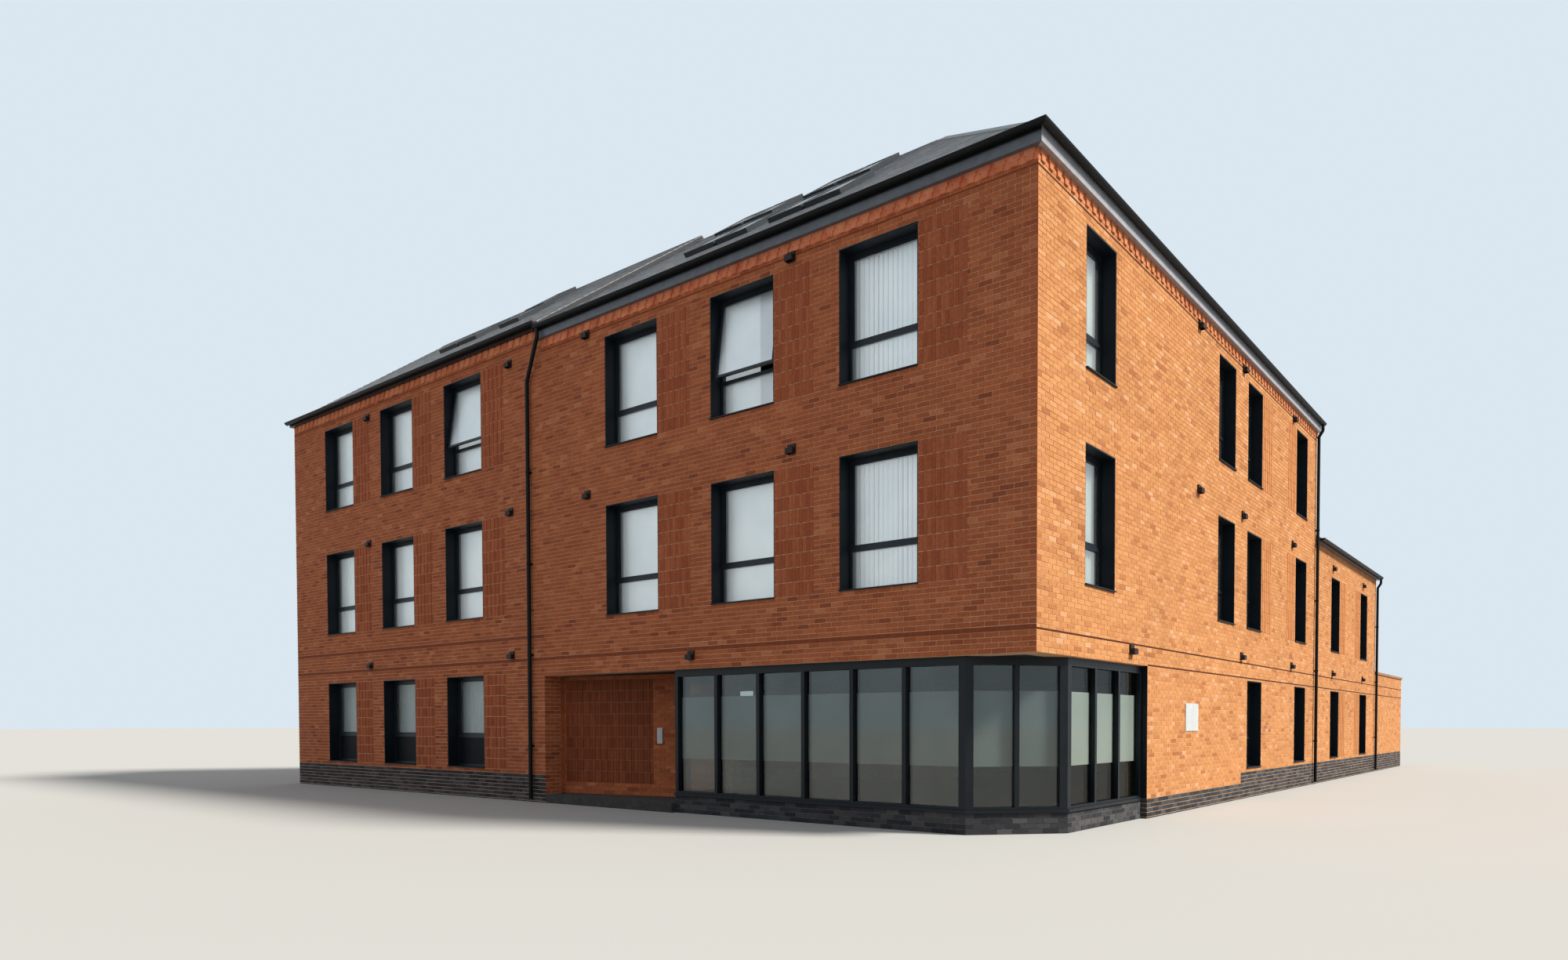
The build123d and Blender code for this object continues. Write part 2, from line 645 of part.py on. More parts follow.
rise = (half_range + EAVES_OUT) * SLOPE
main_ridge = BRICK_TOP + EAVES_UP + rise
left_ridge = BRICK_TOP + STEP_UP + LEFT_EAVES_UP + rise
wing_ridge = WING_TOP + WING_EAVES_UP + (WING_DEPTH / 2 + EAVES_OUT) * SLOPE
hip_tilt = math.atan(SLOPE / math.sqrt(2))
hip_fall = SLOPE / math.sqrt(2) * math.cos(hip_tilt)
hip_stop = RIDGE_HALF
hip_run = half_range - hip_stop
wing_middle = -WING_DEPTH / 2
ridge_lines = [
    ((-STEP_AT, half_range, main_ridge), (-half_range - hip_stop, half_range, main_ridge)),
    ((-half_range, half_range + hip_stop, main_ridge), (-half_range, SIDE_LENGTH + VERGE_OUT, main_ridge)),
    ((-FRONT_LENGTH - VERGE_OUT, half_range, left_ridge), (-STEP_AT, half_range, left_ridge)),
    ((wing_middle, SIDE_LENGTH, wing_ridge), (wing_middle, WING_END + VERGE_OUT, wing_ridge)),
]
ridge_tiles = [cap(start, end, SLOPE) for start, end in ridge_lines]
ridge_tiles.append(cap(
    (EAVES_OUT, -EAVES_OUT, BRICK_TOP + EAVES_UP),
    (-hip_run, hip_run, BRICK_TOP + EAVES_UP + (hip_run + EAVES_OUT) * SLOPE),
    hip_fall,
))
parts["ridge_tiles"] = ridge_tiles


# Gutters: half-round channels along every eaves line
def gutter(start, end, outward, top):
    """A channel with stopped ends, hung outside the line from start to end."""
    run = Vector(end[0] - start[0], end[1] - start[1], 0)
    away = Vector(*outward, 0)
    origin = Vector(start[0], start[1], top) + away * GUTTER_RADIUS
    plane = Plane(origin=origin, x_dir=away, z_dir=run.normalized())
    with BuildPart() as made:
        with BuildSketch(plane):
            Circle(GUTTER_RADIUS)
        extrude(amount=run.length)
        with BuildSketch(plane.offset(GUTTER_WALL)):
            Circle(GUTTER_RADIUS - GUTTER_WALL)
        extrude(amount=run.length - 2 * GUTTER_WALL, mode=Mode.SUBTRACT)
    upright = plane
    if plane.y_dir.Z < 0:
        upright = Plane(origin=origin + run, x_dir=away, z_dir=-run.normalized())
    wide, high = GUTTER_RADIUS, 2 * GUTTER_RADIUS
    return made.part - prism([(-wide, 0), (wide, 0), (wide, high), (-wide, high)], upright, run.length)


gutter_top = BRICK_TOP + EAVES_UP - GUTTER_DROP
reach = EAVES_OUT + 2 * GUTTER_RADIUS
eaves_front = -EAVES_OUT
eaves_rear = RANGE_DEPTH + EAVES_OUT
verge = SIDE_LENGTH + VERGE_OUT
left_top = left_base + LEFT_EAVES_UP - GUTTER_DROP
wing_top = WING_TOP + WING_EAVES_UP - GUTTER_DROP
left_end = -FRONT_LENGTH - VERGE_OUT
wing_verge = WING_END + VERGE_OUT
parts["front_gutters"] = [
    gutter((-STEP_AT, eaves_front), (reach, eaves_front), (0, -1), gutter_top) - half_space(1),
    gutter((-STEP_AT, eaves_rear), (-RANGE_DEPTH, eaves_rear), (0, 1), gutter_top) - half_space(1),
    gutter((left_end, eaves_front), (-STEP_AT - GUTTER_WALL, eaves_front), (0, -1), left_top),
    gutter((left_end, eaves_rear), (-STEP_AT - GUTTER_WALL, eaves_rear), (0, 1), left_top),
]
parts["side_gutters"] = [
    gutter((EAVES_OUT, -reach), (EAVES_OUT, verge), (1, 0), gutter_top) - half_space(-1),
    gutter((-eaves_rear, RANGE_DEPTH), (-eaves_rear, verge), (-1, 0), gutter_top) - half_space(-1),
    gutter((EAVES_OUT, SIDE_LENGTH), (EAVES_OUT, wing_verge), (1, 0), wing_top),
    gutter((-WING_DEPTH - EAVES_OUT, SIDE_LENGTH), (-WING_DEPTH - EAVES_OUT, wing_verge), (-1, 0), wing_top),
]


# Downpipes: a swan neck back to the wall and a straight drop
def downpipe(outlet, foot, top):
    """A pipe from an outlet under a gutter to a foot that stands off the wall."""
    bend = top - 2 * PIPE_BEND
    end = bend - 1.5 * math.dist(outlet, foot)
    with BuildLine() as path:
        FilletPolyline(
            (outlet[0], outlet[1], top), (outlet[0], outlet[1], bend),
            (foot[0], foot[1], end), (foot[0], foot[1], PIPE_FOOT),
            radius=PIPE_BEND,
        )
    shape = Plane(origin=(outlet[0], outlet[1], top), z_dir=(0, 0, -1))
    outer = sweep(shape * Circle(PIPE_RADIUS), path.line)
    return outer - sweep(shape * Circle(PIPE_RADIUS - PIPE_WALL), path.line)


stand_off = PIPE_GAP + PIPE_RADIUS
outlet_out = EAVES_OUT + GUTTER_RADIUS
outlet_top = gutter_top - GUTTER_RADIUS
wing_outlet_top = wing_top - GUTTER_RADIUS
STEP_OUTLET = 90 - STEP_AT
STEP_PIPE = -STEP_AT - 400
SIDE_PIPE = SIDE_LENGTH - 75
COURT_PIPE = SIDE_LENGTH - 300
WING_PIPE = WING_END - 75
rear_line = RANGE_DEPTH
court_line = -RANGE_DEPTH
yard_line = -WING_DEPTH
parts["downpipes"] = [
    downpipe((STEP_OUTLET, -outlet_out), (STEP_PIPE, -stand_off), outlet_top),
    downpipe((outlet_out, SIDE_PIPE), (stand_off, SIDE_PIPE), outlet_top),
    downpipe((outlet_out, WING_PIPE), (stand_off, WING_PIPE), wing_outlet_top),
    downpipe((STEP_OUTLET, rear_line + outlet_out), (STEP_PIPE, rear_line + stand_off), outlet_top),
    downpipe((court_line - outlet_out, COURT_PIPE), (court_line - stand_off, COURT_PIPE), outlet_top),
    downpipe((yard_line - outlet_out, WING_PIPE), (yard_line - stand_off, WING_PIPE), wing_outlet_top),
]

# Toothed course under the eaves of the main part: each tooth is a header below a wider brick
def comb(length):
    """Outline of the teeth along a length, as pairs of distance and height."""
    middle = (TOOTH_BASE + BRICK_TOP) / 2
    root = BRICK_TOP - TOOTH_BACK
    wide = TOOTH_WIDE / 2
    narrow = TOOTH_NARROW / 2
    points = []
    for i in range(round(length / BRICK)):
        centre = (i + 0.5) * BRICK
        for reach in (-1, 1):
            edge = [(centre + reach * wide, root), (centre + reach * wide, middle)]
            edge += [(centre + reach * narrow, middle), (centre + reach * narrow, TOOTH_BASE)]
            points += edge if reach < 0 else edge[::-1]
    return [(points[0][0], BRICK_TOP)] + points + [(points[-1][0], BRICK_TOP)]


front_teeth = along_y([(-s, z) for s, z in comb(STEP_AT)], -TOOTH_OUT, 0)
side_teeth = along_x(comb(SIDE_LENGTH), 0, TOOTH_OUT)
parts["toothed_course"] = [
    front_teeth + front(0, STEP_AT, -TOOTH_BACK, 0, TOOTH_BASE, BRICK_TOP),
    side_teeth + side(0, SIDE_LENGTH, -TOOTH_BACK, 0, TOOTH_BASE, BRICK_TOP),
]


# Hooded vents, a plain plate on the side and an entry panel in the porch
def vent(face, along, bottom):
    """A hooded vent: a sloped cover, open underneath."""
    half = VENT_WIDTH / 2
    hood = face(along - half, along + half, -VENT_OUT, 0, bottom, bottom + VENT_HEIGHT)
    hood -= face(
        along - half + VENT_WALL, along + half - VENT_WALL, VENT_WALL - VENT_OUT, -VENT_WALL, bottom - 1,
        bottom + VENT_HEIGHT / 2,
    )
    corner = face(
        along - VENT_WIDTH, along + VENT_WIDTH, -VENT_OUT - 1, -VENT_OUT / 3,
        bottom + VENT_HEIGHT * 0.6, bottom + 2 * VENT_HEIGHT,
    )
    return hood - corner


shop_level, low_level, first_level, second_level = VENT_LEVELS
vents = [vent(front, SHOP_FRONT_VENT, shop_level), vent(side, SHOP_SIDE_VENT, shop_level)]
vents += [vent(front, along, low_level) for along in LEFT_VENTS]
vents += [vent(side, along, low_level) for along in SIDE_LOW_VENTS + WING_VENTS]
for level in (first_level, second_level):
    vents += [vent(front, along, level) for along in FRONT_VENTS + LEFT_VENTS]
    vents += [vent(side, along, level) for along in SIDE_VENTS]
vents += [vent(side, along, first_level) for along in WING_VENTS]
parts["wall_vents"] = vents
panel_start = PORCH_FAR + PANEL_AT * porch_lean
panel_place = Plane(
    origin=(-STEP_AT + PANEL_AT, panel_start, 0), x_dir=(1, porch_lean, 0), z_dir=(0, 0, 1),
).location
parts["wall_plates"] = [
    side(PLATE_START, PLATE_START + PLATE_WIDTH, -PLATE_THICK, 0, PLATE_LOW, PLATE_LOW + PLATE_HEIGHT),
    panel_place * block(0, PANEL_WIDTH, -PANEL_THICK, 0, PANEL_LOW, PANEL_LOW + PANEL_HEIGHT),
]

# Move the model so that its origin is the middle of its footprint, on the ground
solids = {name: item if isinstance(item, list) else [item] for name, item in parts.items()}
boxes = [solid.bounding_box() for pieces in solids.values() for solid in pieces]
middle_x = (min(b.min.X for b in boxes) + max(b.max.X for b in boxes)) / 2
middle_y = (min(b.min.Y for b in boxes) + max(b.max.Y for b in boxes)) / 2
centre = Pos(-middle_x, -middle_y, 0)

os.makedirs("parts", exist_ok=True)
for name, pieces in solids.items():
    moved = [centre * piece for piece in pieces]
    export_step(Compound(children=moved) if len(moved) > 1 else moved[0], f"parts/{name}.step")
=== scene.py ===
import math

import bpy
import numpy as np
from mathutils import Euler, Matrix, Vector


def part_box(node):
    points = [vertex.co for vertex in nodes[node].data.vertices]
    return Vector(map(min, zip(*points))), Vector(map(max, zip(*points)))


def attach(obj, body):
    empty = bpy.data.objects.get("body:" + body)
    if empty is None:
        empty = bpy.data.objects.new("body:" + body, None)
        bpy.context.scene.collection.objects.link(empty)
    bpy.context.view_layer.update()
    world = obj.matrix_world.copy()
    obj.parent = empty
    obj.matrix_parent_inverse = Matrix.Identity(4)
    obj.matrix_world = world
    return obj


# Corner shop building: bricks, slates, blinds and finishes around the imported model. Metres, +Z up.
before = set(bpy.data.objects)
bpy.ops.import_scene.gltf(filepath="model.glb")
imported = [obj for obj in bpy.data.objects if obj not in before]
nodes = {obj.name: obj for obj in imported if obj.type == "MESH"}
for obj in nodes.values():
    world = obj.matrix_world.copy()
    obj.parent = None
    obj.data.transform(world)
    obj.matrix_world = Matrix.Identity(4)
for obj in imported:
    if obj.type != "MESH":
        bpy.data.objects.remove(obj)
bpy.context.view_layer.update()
rng = np.random.default_rng(9)

# Sizes that the brickwork and the roofs follow. Distances along a front start at the upper corner.
BRICK = 0.225
COURSE = 0.075
FIRST_BED = 0.1
JOINT = 0.01
PROUD = 0.005
BEHIND = -0.002
PAST_CORNER = -0.1
STEP_AT = 10.8
FRONT_LENGTH = 21.6
SIDE_LENGTH = 15.3
WING_END = 23.625
YARD_END_AT = WING_END + 5.2
YARD_WALL = 0.225
YARD_HEIGHT = 3.2
RANGE_DEPTH = 8.4
WING_DEPTH = 6.0
STEP_UP = 3 * COURSE
PITCH = math.radians(38)
SLOPE = math.tan(PITCH)
EAVES_OUT = 0.1
SHOP_SIDE_END = 3.87
SHOP_FRONT_END = 7.125
SHOP_BACK = 0.1
SHOP_PLINTH = 0.3
CHAMFER = 1.15
PORCH_FAR = 0.45
PORCH_NEAR = 1.2
FLOOR_TOP = 0.17
PLINTH_STEP = 9.0


def course(count):
    """Height of a bed joint, counted from the lowest course."""
    return FIRST_BED + count * COURSE


PLINTH_LOW = course(3)
PLINTH_HIGH = course(6)
SHOP_HEAD = course(32)
WING_TOP = course(82)
BRICK_TOP = course(119)
LEFT_TOP = BRICK_TOP + STEP_UP
CORNER = Vector((
    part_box("side_wall_second")[1].x,
    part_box("front_wall_right_second")[0].y,
    0,
))


# Shader helpers
def new_material(name):
    mat = bpy.data.materials.new(name)
    mat.use_nodes = True
    tree = mat.node_tree
    tree.nodes.clear()
    return mat, tree


def node(tree, kind, **values):
    made = tree.nodes.new(kind)
    for key, value in values.items():
        if hasattr(made, key):
            setattr(made, key, value)
        else:
            made.inputs[key.replace("_", " ")].default_value = value
    return made


def feed(tree, value, socket):
    """Links another node's output to a socket, or sets a plain value on it."""
    if hasattr(value, "links"):
        tree.links.new(value, socket)
    else:
        socket.default_value = value


def srgb(*levels):
    out = []
    for level in levels:
        v = level / 255
        out.append(v / 12.92 if v <= 0.04045 else ((v + 0.055) / 1.055) ** 2.4)
    return (*out, 1.0)


def principled(tree, roughness, specular):
    shader = node(tree, "ShaderNodeBsdfPrincipled", Roughness=roughness, Specular_IOR_Level=specular)
    out = node(tree, "ShaderNodeOutputMaterial")
    tree.links.new(shader.outputs[0], out.inputs[0])
    return shader


def shader_of(mat):
    return next(one for one in mat.node_tree.nodes if one.type == "BSDF_PRINCIPLED")


def noise(tree, scale, detail, stretch=None):
    coords = node(tree, "ShaderNodeTexCoord")
    made = node(tree, "ShaderNodeTexNoise", Scale=scale, Detail=detail)
    if stretch:
        mapping = node(tree, "ShaderNodeMapping", Scale=stretch)
        tree.links.new(coords.outputs["Object"], mapping.inputs[0])
        tree.links.new(mapping.outputs[0], made.inputs["Vector"])
    else:
        tree.links.new(coords.outputs["Object"], made.inputs["Vector"])
    return made


def ramp(tree, source, stops):
    made = node(tree, "ShaderNodeValToRGB")
    band = made.color_ramp
    while len(band.elements) < len(stops):
        band.elements.new(0.5)
    for element, (place, colour) in zip(band.elements, stops):
        element.position = place
        element.color = colour
    tree.links.new(source, made.inputs[0])
    return made.outputs[0]


def mix(tree, factor, a, b, blend="MIX"):
    made = node(tree, "ShaderNodeMix", data_type="RGBA", blend_type=blend)
    for value, socket in ((factor, made.inputs[0]), (a, made.inputs[6]), (b, made.inputs[7])):
        feed(tree, value, socket)
    return made.outputs[2]


def mottled(tree, body, spots, dark, light, share=0.8, low=0.3, high=0.7):
    """A colour multiplied by blotches that run from dark to light."""
    shade = ramp(tree, spots.outputs["Fac"], [(low, (*dark, 1)), (high, (*light, 1))])
    return mix(tree, share, body, shade, "MULTIPLY")


def calculated(tree, operation, a, b=0.0):
    made = node(tree, "ShaderNodeMath", operation=operation)
    feed(tree, a, made.inputs[0])
    feed(tree, b, made.inputs[1])
    return made.outputs[0]


def mapped(tree, source, start, stop, low=0.0, high=1.0):
    made = node(tree, "ShaderNodeMapRange", From_Min=start, From_Max=stop, To_Min=low, To_Max=high)
    tree.links.new(source, made.inputs["Value"])
    return made.outputs[0]


def coordinate(tree, kind, reading, channel):
    """One coordinate of the surface's place or facing."""
    parts = node(tree, "ShaderNodeSeparateXYZ")
    tree.links.new(node(tree, kind).outputs[reading], parts.inputs[0])
    return parts.outputs[channel]


def bump(tree, shader, height, strength, distance):
    made = node(tree, "ShaderNodeBump", Strength=strength, Distance=distance)
    tree.links.new(height, made.inputs["Height"])
    tree.links.new(made.outputs[0], shader.inputs["Normal"])


def two_shaders(tree, factor, first, second, output="ShaderNodeOutputMaterial"):
    """Sends a mix of two shaders to the output."""
    both = node(tree, "ShaderNodeMixShader")
    for source, socket in zip((factor, first.outputs[0], second.outputs[0]), both.inputs):
        tree.links.new(source, socket)
    tree.links.new(both.outputs[0], node(tree, output).inputs[0])


def seen(tree):
    """1 for rays from the camera and those that mirrors and glass pass on, else 0."""
    rays = node(tree, "ShaderNodeLightPath").outputs
    direct = calculated(tree, "MAXIMUM", rays["Is Camera Ray"], rays["Is Glossy Ray"])
    return calculated(tree, "MAXIMUM", direct, rays["Is Transmission Ray"])


# Materials
def brick_material(name, stops, stain=0.5):
    """Fired clay: each brick has its own tone, with small blotches and a sandy grain."""
    mat, tree = new_material(name)
    shader = principled(tree, 0.88, specular=0.25)
    tone = node(tree, "ShaderNodeAttribute", attribute_name="tone")
    body = ramp(tree, tone.outputs["Fac"], stops)
    body = mottled(tree, body, noise(tree, 38.0, 4.0), (0.72, 0.68, 0.66), (1.12, 1.1, 1.08))
    broad = noise(tree, 0.55, 3.0)
    body = mottled(tree, body, broad, (0.86, 0.84, 0.84), (1.06, 1.05, 1.04), stain, 0.35, 0.65)
    tree.links.new(body, shader.inputs["Base Color"])
    grain = noise(tree, 240.0, 5.0)
    bump(tree, shader, grain.outputs["Fac"], 0.5, 0.004)
    return mat


def speckled(name, dark, light, scale, roughness, strength=0.15, distance=0.001, specular=0.5, stretch=None):
    """A surface whose colour wanders a little, with a fine relief."""
    mat, tree = new_material(name)
    shader = principled(tree, roughness, specular=specular)
    wander = noise(tree, scale, 4.0, stretch)
    colour = ramp(tree, wander.outputs["Fac"], [(0.3, dark), (0.7, light)])
    tree.links.new(colour, shader.inputs["Base Color"])
    fine = noise(tree, scale * 9, 3.0, stretch)
    bump(tree, shader, fine.outputs["Fac"], strength, distance)
    return mat


def mortar(name, dark, light):
    return speckled(name, dark, light, 14, 0.95, strength=0.6, distance=0.004, specular=0.2)


def second_colour(mat, dark, light, reading, channel, start, stop):
    """Gives a speckled surface another pair of colours where a place or a facing goes from start to stop."""
    tree = mat.node_tree
    shader = shader_of(mat)
    first = shader.inputs["Base Color"].links[0].from_socket
    wander = first.node.inputs[0].links[0].from_socket
    other = ramp(tree, wander, [(0.3, dark), (0.7, light)])
    share = mapped(tree, coordinate(tree, "ShaderNodeNewGeometry", reading, channel), start, stop)
    tree.links.new(mix(tree, share, first, other), shader.inputs["Base Color"])


RED_STOPS = [
    (0.0, srgb(154, 80, 52)), (0.08, srgb(180, 99, 62)), (0.5, srgb(190, 107, 67)),
    (0.92, srgb(200, 116, 73)), (1.0, srgb(212, 134, 92)),
]
# Paler copies for the side street: painted sunlight
SUNNY_STOPS = [
    (0.0, srgb(180, 114, 70)), (0.08, srgb(202, 138, 86)), (0.5, srgb(212, 149, 94)),
    (0.92, srgb(219, 157, 102)), (1.0, srgb(224, 172, 130)),
]
BLUE_STOPS = [(0.0, srgb(46, 48, 54)), (0.5, srgb(66, 68, 74)), (1.0, srgb(92, 92, 94))]
RIB_STOPS = [(0.0, srgb(170, 90, 58)), (0.5, srgb(182, 100, 64)), (1.0, srgb(194, 112, 74))]
# Paler ribbed bricks for the side street: painted sunlight
SUNNY_RIB_STOPS = [(0.0, srgb(200, 132, 80)), (0.5, srgb(209, 142, 88)), (1.0, srgb(216, 152, 96))]
# Darker ribbed bricks for the porch: painted shade of its recess
SHADED_PORCH_RIB_STOPS = [(0.0, srgb(136, 70, 44)), (0.5, srgb(146, 78, 49)), (1.0, srgb(158, 88, 57))]
# Slate tones, paler than plain slate: partly their own grey, partly painted sheen seen along the roof. The
# top stop, for the eaves course, is a painted highlight.
SLATE_STOPS = [
    (0.0, srgb(134, 138, 145)), (0.45, srgb(147, 151, 158)), (0.9, srgb(162, 166, 172)),
    (1.0, srgb(172, 176, 182)),
]
RIDGE_STOPS = [
    (0.0, srgb(26, 30, 30)), (0.03, srgb(26, 30, 30)), (0.05, srgb(70, 76, 78)), (1.0, srgb(84, 90, 92)),
]

# The side street stands in the sun: its bricks, joints and roof edge are a little paler, painted sunlight in
# copies of the front's materials
RED = brick_material("red_brick", RED_STOPS)
SUNNY = brick_material("red_brick_painted_sunlight", SUNNY_STOPS)
BLUE = brick_material("blue_brick", BLUE_STOPS, 0.3)
RIBBED = brick_material("ribbed_brick", RIB_STOPS, 0.3)
SUNNY_RIBBED = brick_material("ribbed_brick_painted_sunlight", SUNNY_RIB_STOPS, 0.3)
# Painted shade: the porch's ribbed bricks are darker copies
SHADED_PORCH_RIBBED = brick_material("ribbed_brick_porch_painted_shade", SHADED_PORCH_RIB_STOPS, 0.3)
MORTAR = mortar("mortar", srgb(224, 178, 144), srgb(238, 198, 164))
# Painted shade: the porch's joints are darker copies
SHADED_PORCH_MORTAR = mortar("mortar_porch_painted_shade", srgb(150, 104, 78), srgb(168, 124, 96))
SUNNY_MORTAR = mortar("mortar_painted_sunlight", srgb(222, 172, 126), srgb(234, 190, 148))
BLUE_MORTAR = mortar("plinth_mortar", srgb(96, 92, 88), srgb(126, 120, 112))
TOOTHED = speckled(
    "toothed_brick", srgb(196, 116, 76), srgb(222, 150, 104), 3.6, 0.9,
    strength=0.4, distance=0.003, specular=0.2,
)
# Dark strips for the string lines: painted shade of the sunk courses, softer on the front
LINE = speckled("string_shadow", srgb(72, 36, 26), srgb(98, 52, 36), 12, 0.9, specular=0.2)
FRONT_STRING_SHADE = speckled("string_shade_front", srgb(134, 68, 42), srgb(154, 82, 52), 12, 0.9, specular=0.2)
METAL = speckled("anthracite_frame", srgb(24, 31, 38), srgb(34, 41, 48), 3, 0.42, 0.05, specular=0.3)
SHOP_METAL = speckled(
    "anthracite_shop_frame", srgb(12, 18, 24), srgb(20, 27, 32), 3, 0.42, 0.05, specular=0.25,
)
LINING = speckled("anthracite_lining", srgb(14, 22, 30), srgb(22, 30, 38), 3, 0.5, 0.05, specular=0.2)
PANEL = speckled("dark_panel", srgb(10, 13, 18), srgb(16, 20, 25), 2, 0.55, 0.04, specular=0.12)
PLASTIC = speckled("black_plastic", srgb(7, 10, 12), srgb(14, 18, 20), 6, 0.45, 0.08, specular=0.15)
COWL = speckled("brown_cowl", srgb(26, 20, 19), srgb(44, 33, 29), 30, 0.55, specular=0.25)
FASCIA = speckled("roof_edge", srgb(88, 94, 102), srgb(104, 110, 118), 8, 0.4)
# The side street's roof edge is much paler than the front's: painted sunlight and painted reflection of the
# sky
SUNNY_FASCIA = speckled(
    "roof_edge_painted_sunlight", srgb(158, 160, 168), srgb(176, 178, 186), 8, 0.35, specular=0.6,
)
PLASTER = speckled("soffit_paint", srgb(34, 36, 38), srgb(48, 50, 52), 5, 0.7, specular=0.3)
WHITE = speckled("white_plate", srgb(196, 200, 202), srgb(212, 216, 218), 9, 0.4, 0.06, specular=0.4)
# Floor slabs in a dark grey: partly the slab's own colour, partly painted shade along the porch's edge
CONCRETE = speckled("floor_slab", srgb(62, 61, 60), srgb(84, 82, 80), 6, 0.85, specular=0.2)
STONE = speckled(
    "coping_stone", srgb(138, 104, 82), srgb(168, 132, 104), 10, 0.85, strength=0.4, distance=0.004,
)
FILM = speckled("frosted_film", srgb(152, 159, 159), srgb(168, 175, 174), 1.2, 0.6, 0.02, specular=0.2)
HANGING = (6, 6, 0.6)
# These blinds glow a little further down: painted light
BLIND = speckled(
    "blind_fabric", srgb(226, 230, 228), srgb(240, 243, 242), 4, 0.8, specular=0.2, stretch=HANGING,
)
GREY_BLIND = speckled(
    "grey_blind_fabric", srgb(150, 162, 160), srgb(174, 184, 182), 4, 0.8, specular=0.2, stretch=HANGING,
)

# Painted light: the blinds glow a little, as if daylight came through them
shader_of(BLIND).inputs["Emission Color"].default_value = (0.92, 0.96, 1.0, 1)
shader_of(BLIND).inputs["Emission Strength"].default_value = 0.24

# Painted shade: the roof edge is black above its foot, behind the gutters, where they shade it. Painted
# sunlight: film in the sun is paler. Painted highlight: the front's teeth are paler.
GUTTER_SHADE = (BRICK_TOP + 0.12, BRICK_TOP + 0.15)
FACING_SUN = (0.78, 0.95)
FRONT_TEETH_HIGHLIGHT = (CORNER.y + 0.004, CORNER.y - 0.004)
# Painted shade of the gutters on the roof edge's upper part
second_colour(FASCIA, srgb(12, 15, 17), srgb(18, 21, 24), "Position", "Z", *GUTTER_SHADE)
# Painted sunlight on the film that faces the side street
second_colour(FILM, srgb(216, 219, 212), srgb(230, 232, 226), "Normal", "X", *FACING_SUN)
# Painted highlight: the teeth that stand out from the front are paler
second_colour(TOOTHED, srgb(214, 116, 82), srgb(250, 162, 118), "Position", "Y", *FRONT_TEETH_HIGHLIGHT)


def slate_material(name):
    """Each slate has its own tone, and they shine when seen along the roof."""
    mat, tree = new_material(name)
    shader = principled(tree, 0.4, specular=0.6)
    shader.inputs["Coat Weight"].default_value = 1.0
    shader.inputs["Coat Roughness"].default_value = 0.16
    tone = node(tree, "ShaderNodeAttribute", attribute_name="tone")
    body = ramp(tree, tone.outputs["Fac"], SLATE_STOPS)
    body = mottled(tree, body, noise(tree, 9.0, 5.0), (0.85, 0.86, 0.86), (1.1, 1.1, 1.09))
    tree.links.new(body, shader.inputs["Base Color"])
    grain = noise(tree, 60.0, 5.0, (1, 0.3, 1))
    bump(tree, shader, grain.outputs["Fac"], 0.35, 0.004)
    return mat


RIDGE_TILE = 0.45


def ridge_material(name):
    """A dark line where one ridge tile meets the next."""
    mat, tree = new_material(name)
    shader = principled(tree, 0.5, specular=0.4)
    x = coordinate(tree, "ShaderNodeTexCoord", "Object", "X")
    y = coordinate(tree, "ShaderNodeTexCoord", "Object", "Y")
    tile = calculated(tree, "DIVIDE", calculated(tree, "SUBTRACT", x, y), RIDGE_TILE)
    body = ramp(tree, calculated(tree, "FRACT", tile), RIDGE_STOPS)
    blotch = noise(tree, 12.0, 4.0)
    body = mottled(tree, body, blotch, (0.8, 0.8, 0.8), (1.1, 1.1, 1.1))
    tree.links.new(body, shader.inputs["Base Color"])
    bump(tree, shader, blotch.outputs["Fac"], 0.3, 0.004)
    return mat


FACING_SIDE = (0.3, 0.95)
LOW_TO_HIGH = (2.6, 3.4)


def glass_material(name, tint, mirror, side_mirror, clear, roughness, low_share=1.0):
    """A pane: part mirror, part window. Panes low down or towards the side street mirror less."""
    mat, tree = new_material(name)
    see = node(tree, "ShaderNodeBsdfTransparent", Color=clear)
    shine = node(
        tree, "ShaderNodeBsdfPrincipled",
        Roughness=roughness, Metallic=1.0, Coat_Weight=1.0, Coat_Roughness=0.03,
    )
    ripple = noise(tree, 1.6, 2.0)
    bright = tuple(min(1, 1.15 * c) for c in tint[:3]) + (1,)
    colour = ramp(tree, ripple.outputs["Fac"], [(0.35, tint), (0.65, bright)])
    tree.links.new(colour, shine.inputs["Base Color"])
    bump(tree, shine, ripple.outputs["Fac"], 0.04, 0.02)
    facing = coordinate(tree, "ShaderNodeNewGeometry", "Normal", "X")
    height = coordinate(tree, "ShaderNodeNewGeometry", "Position", "Z")
    share = mapped(tree, facing, *FACING_SIDE, mirror, side_mirror)
    lower = mapped(tree, height, *LOW_TO_HIGH, low_share, 1.0)
    two_shaders(tree, calculated(tree, "MULTIPLY", share, lower), see, shine)
    return mat


SLATE = slate_material("slate")
RIDGE = ridge_material("ridge_tile")
GLASS = glass_material("window_glass", srgb(244, 247, 248), 0.46, 0.1, srgb(246, 249, 248), 0.45, 0.3)
SHOP_GLASS = glass_material("shop_glass", srgb(172, 176, 175), 0.13, 0.08, srgb(232, 236, 235), 0.04)

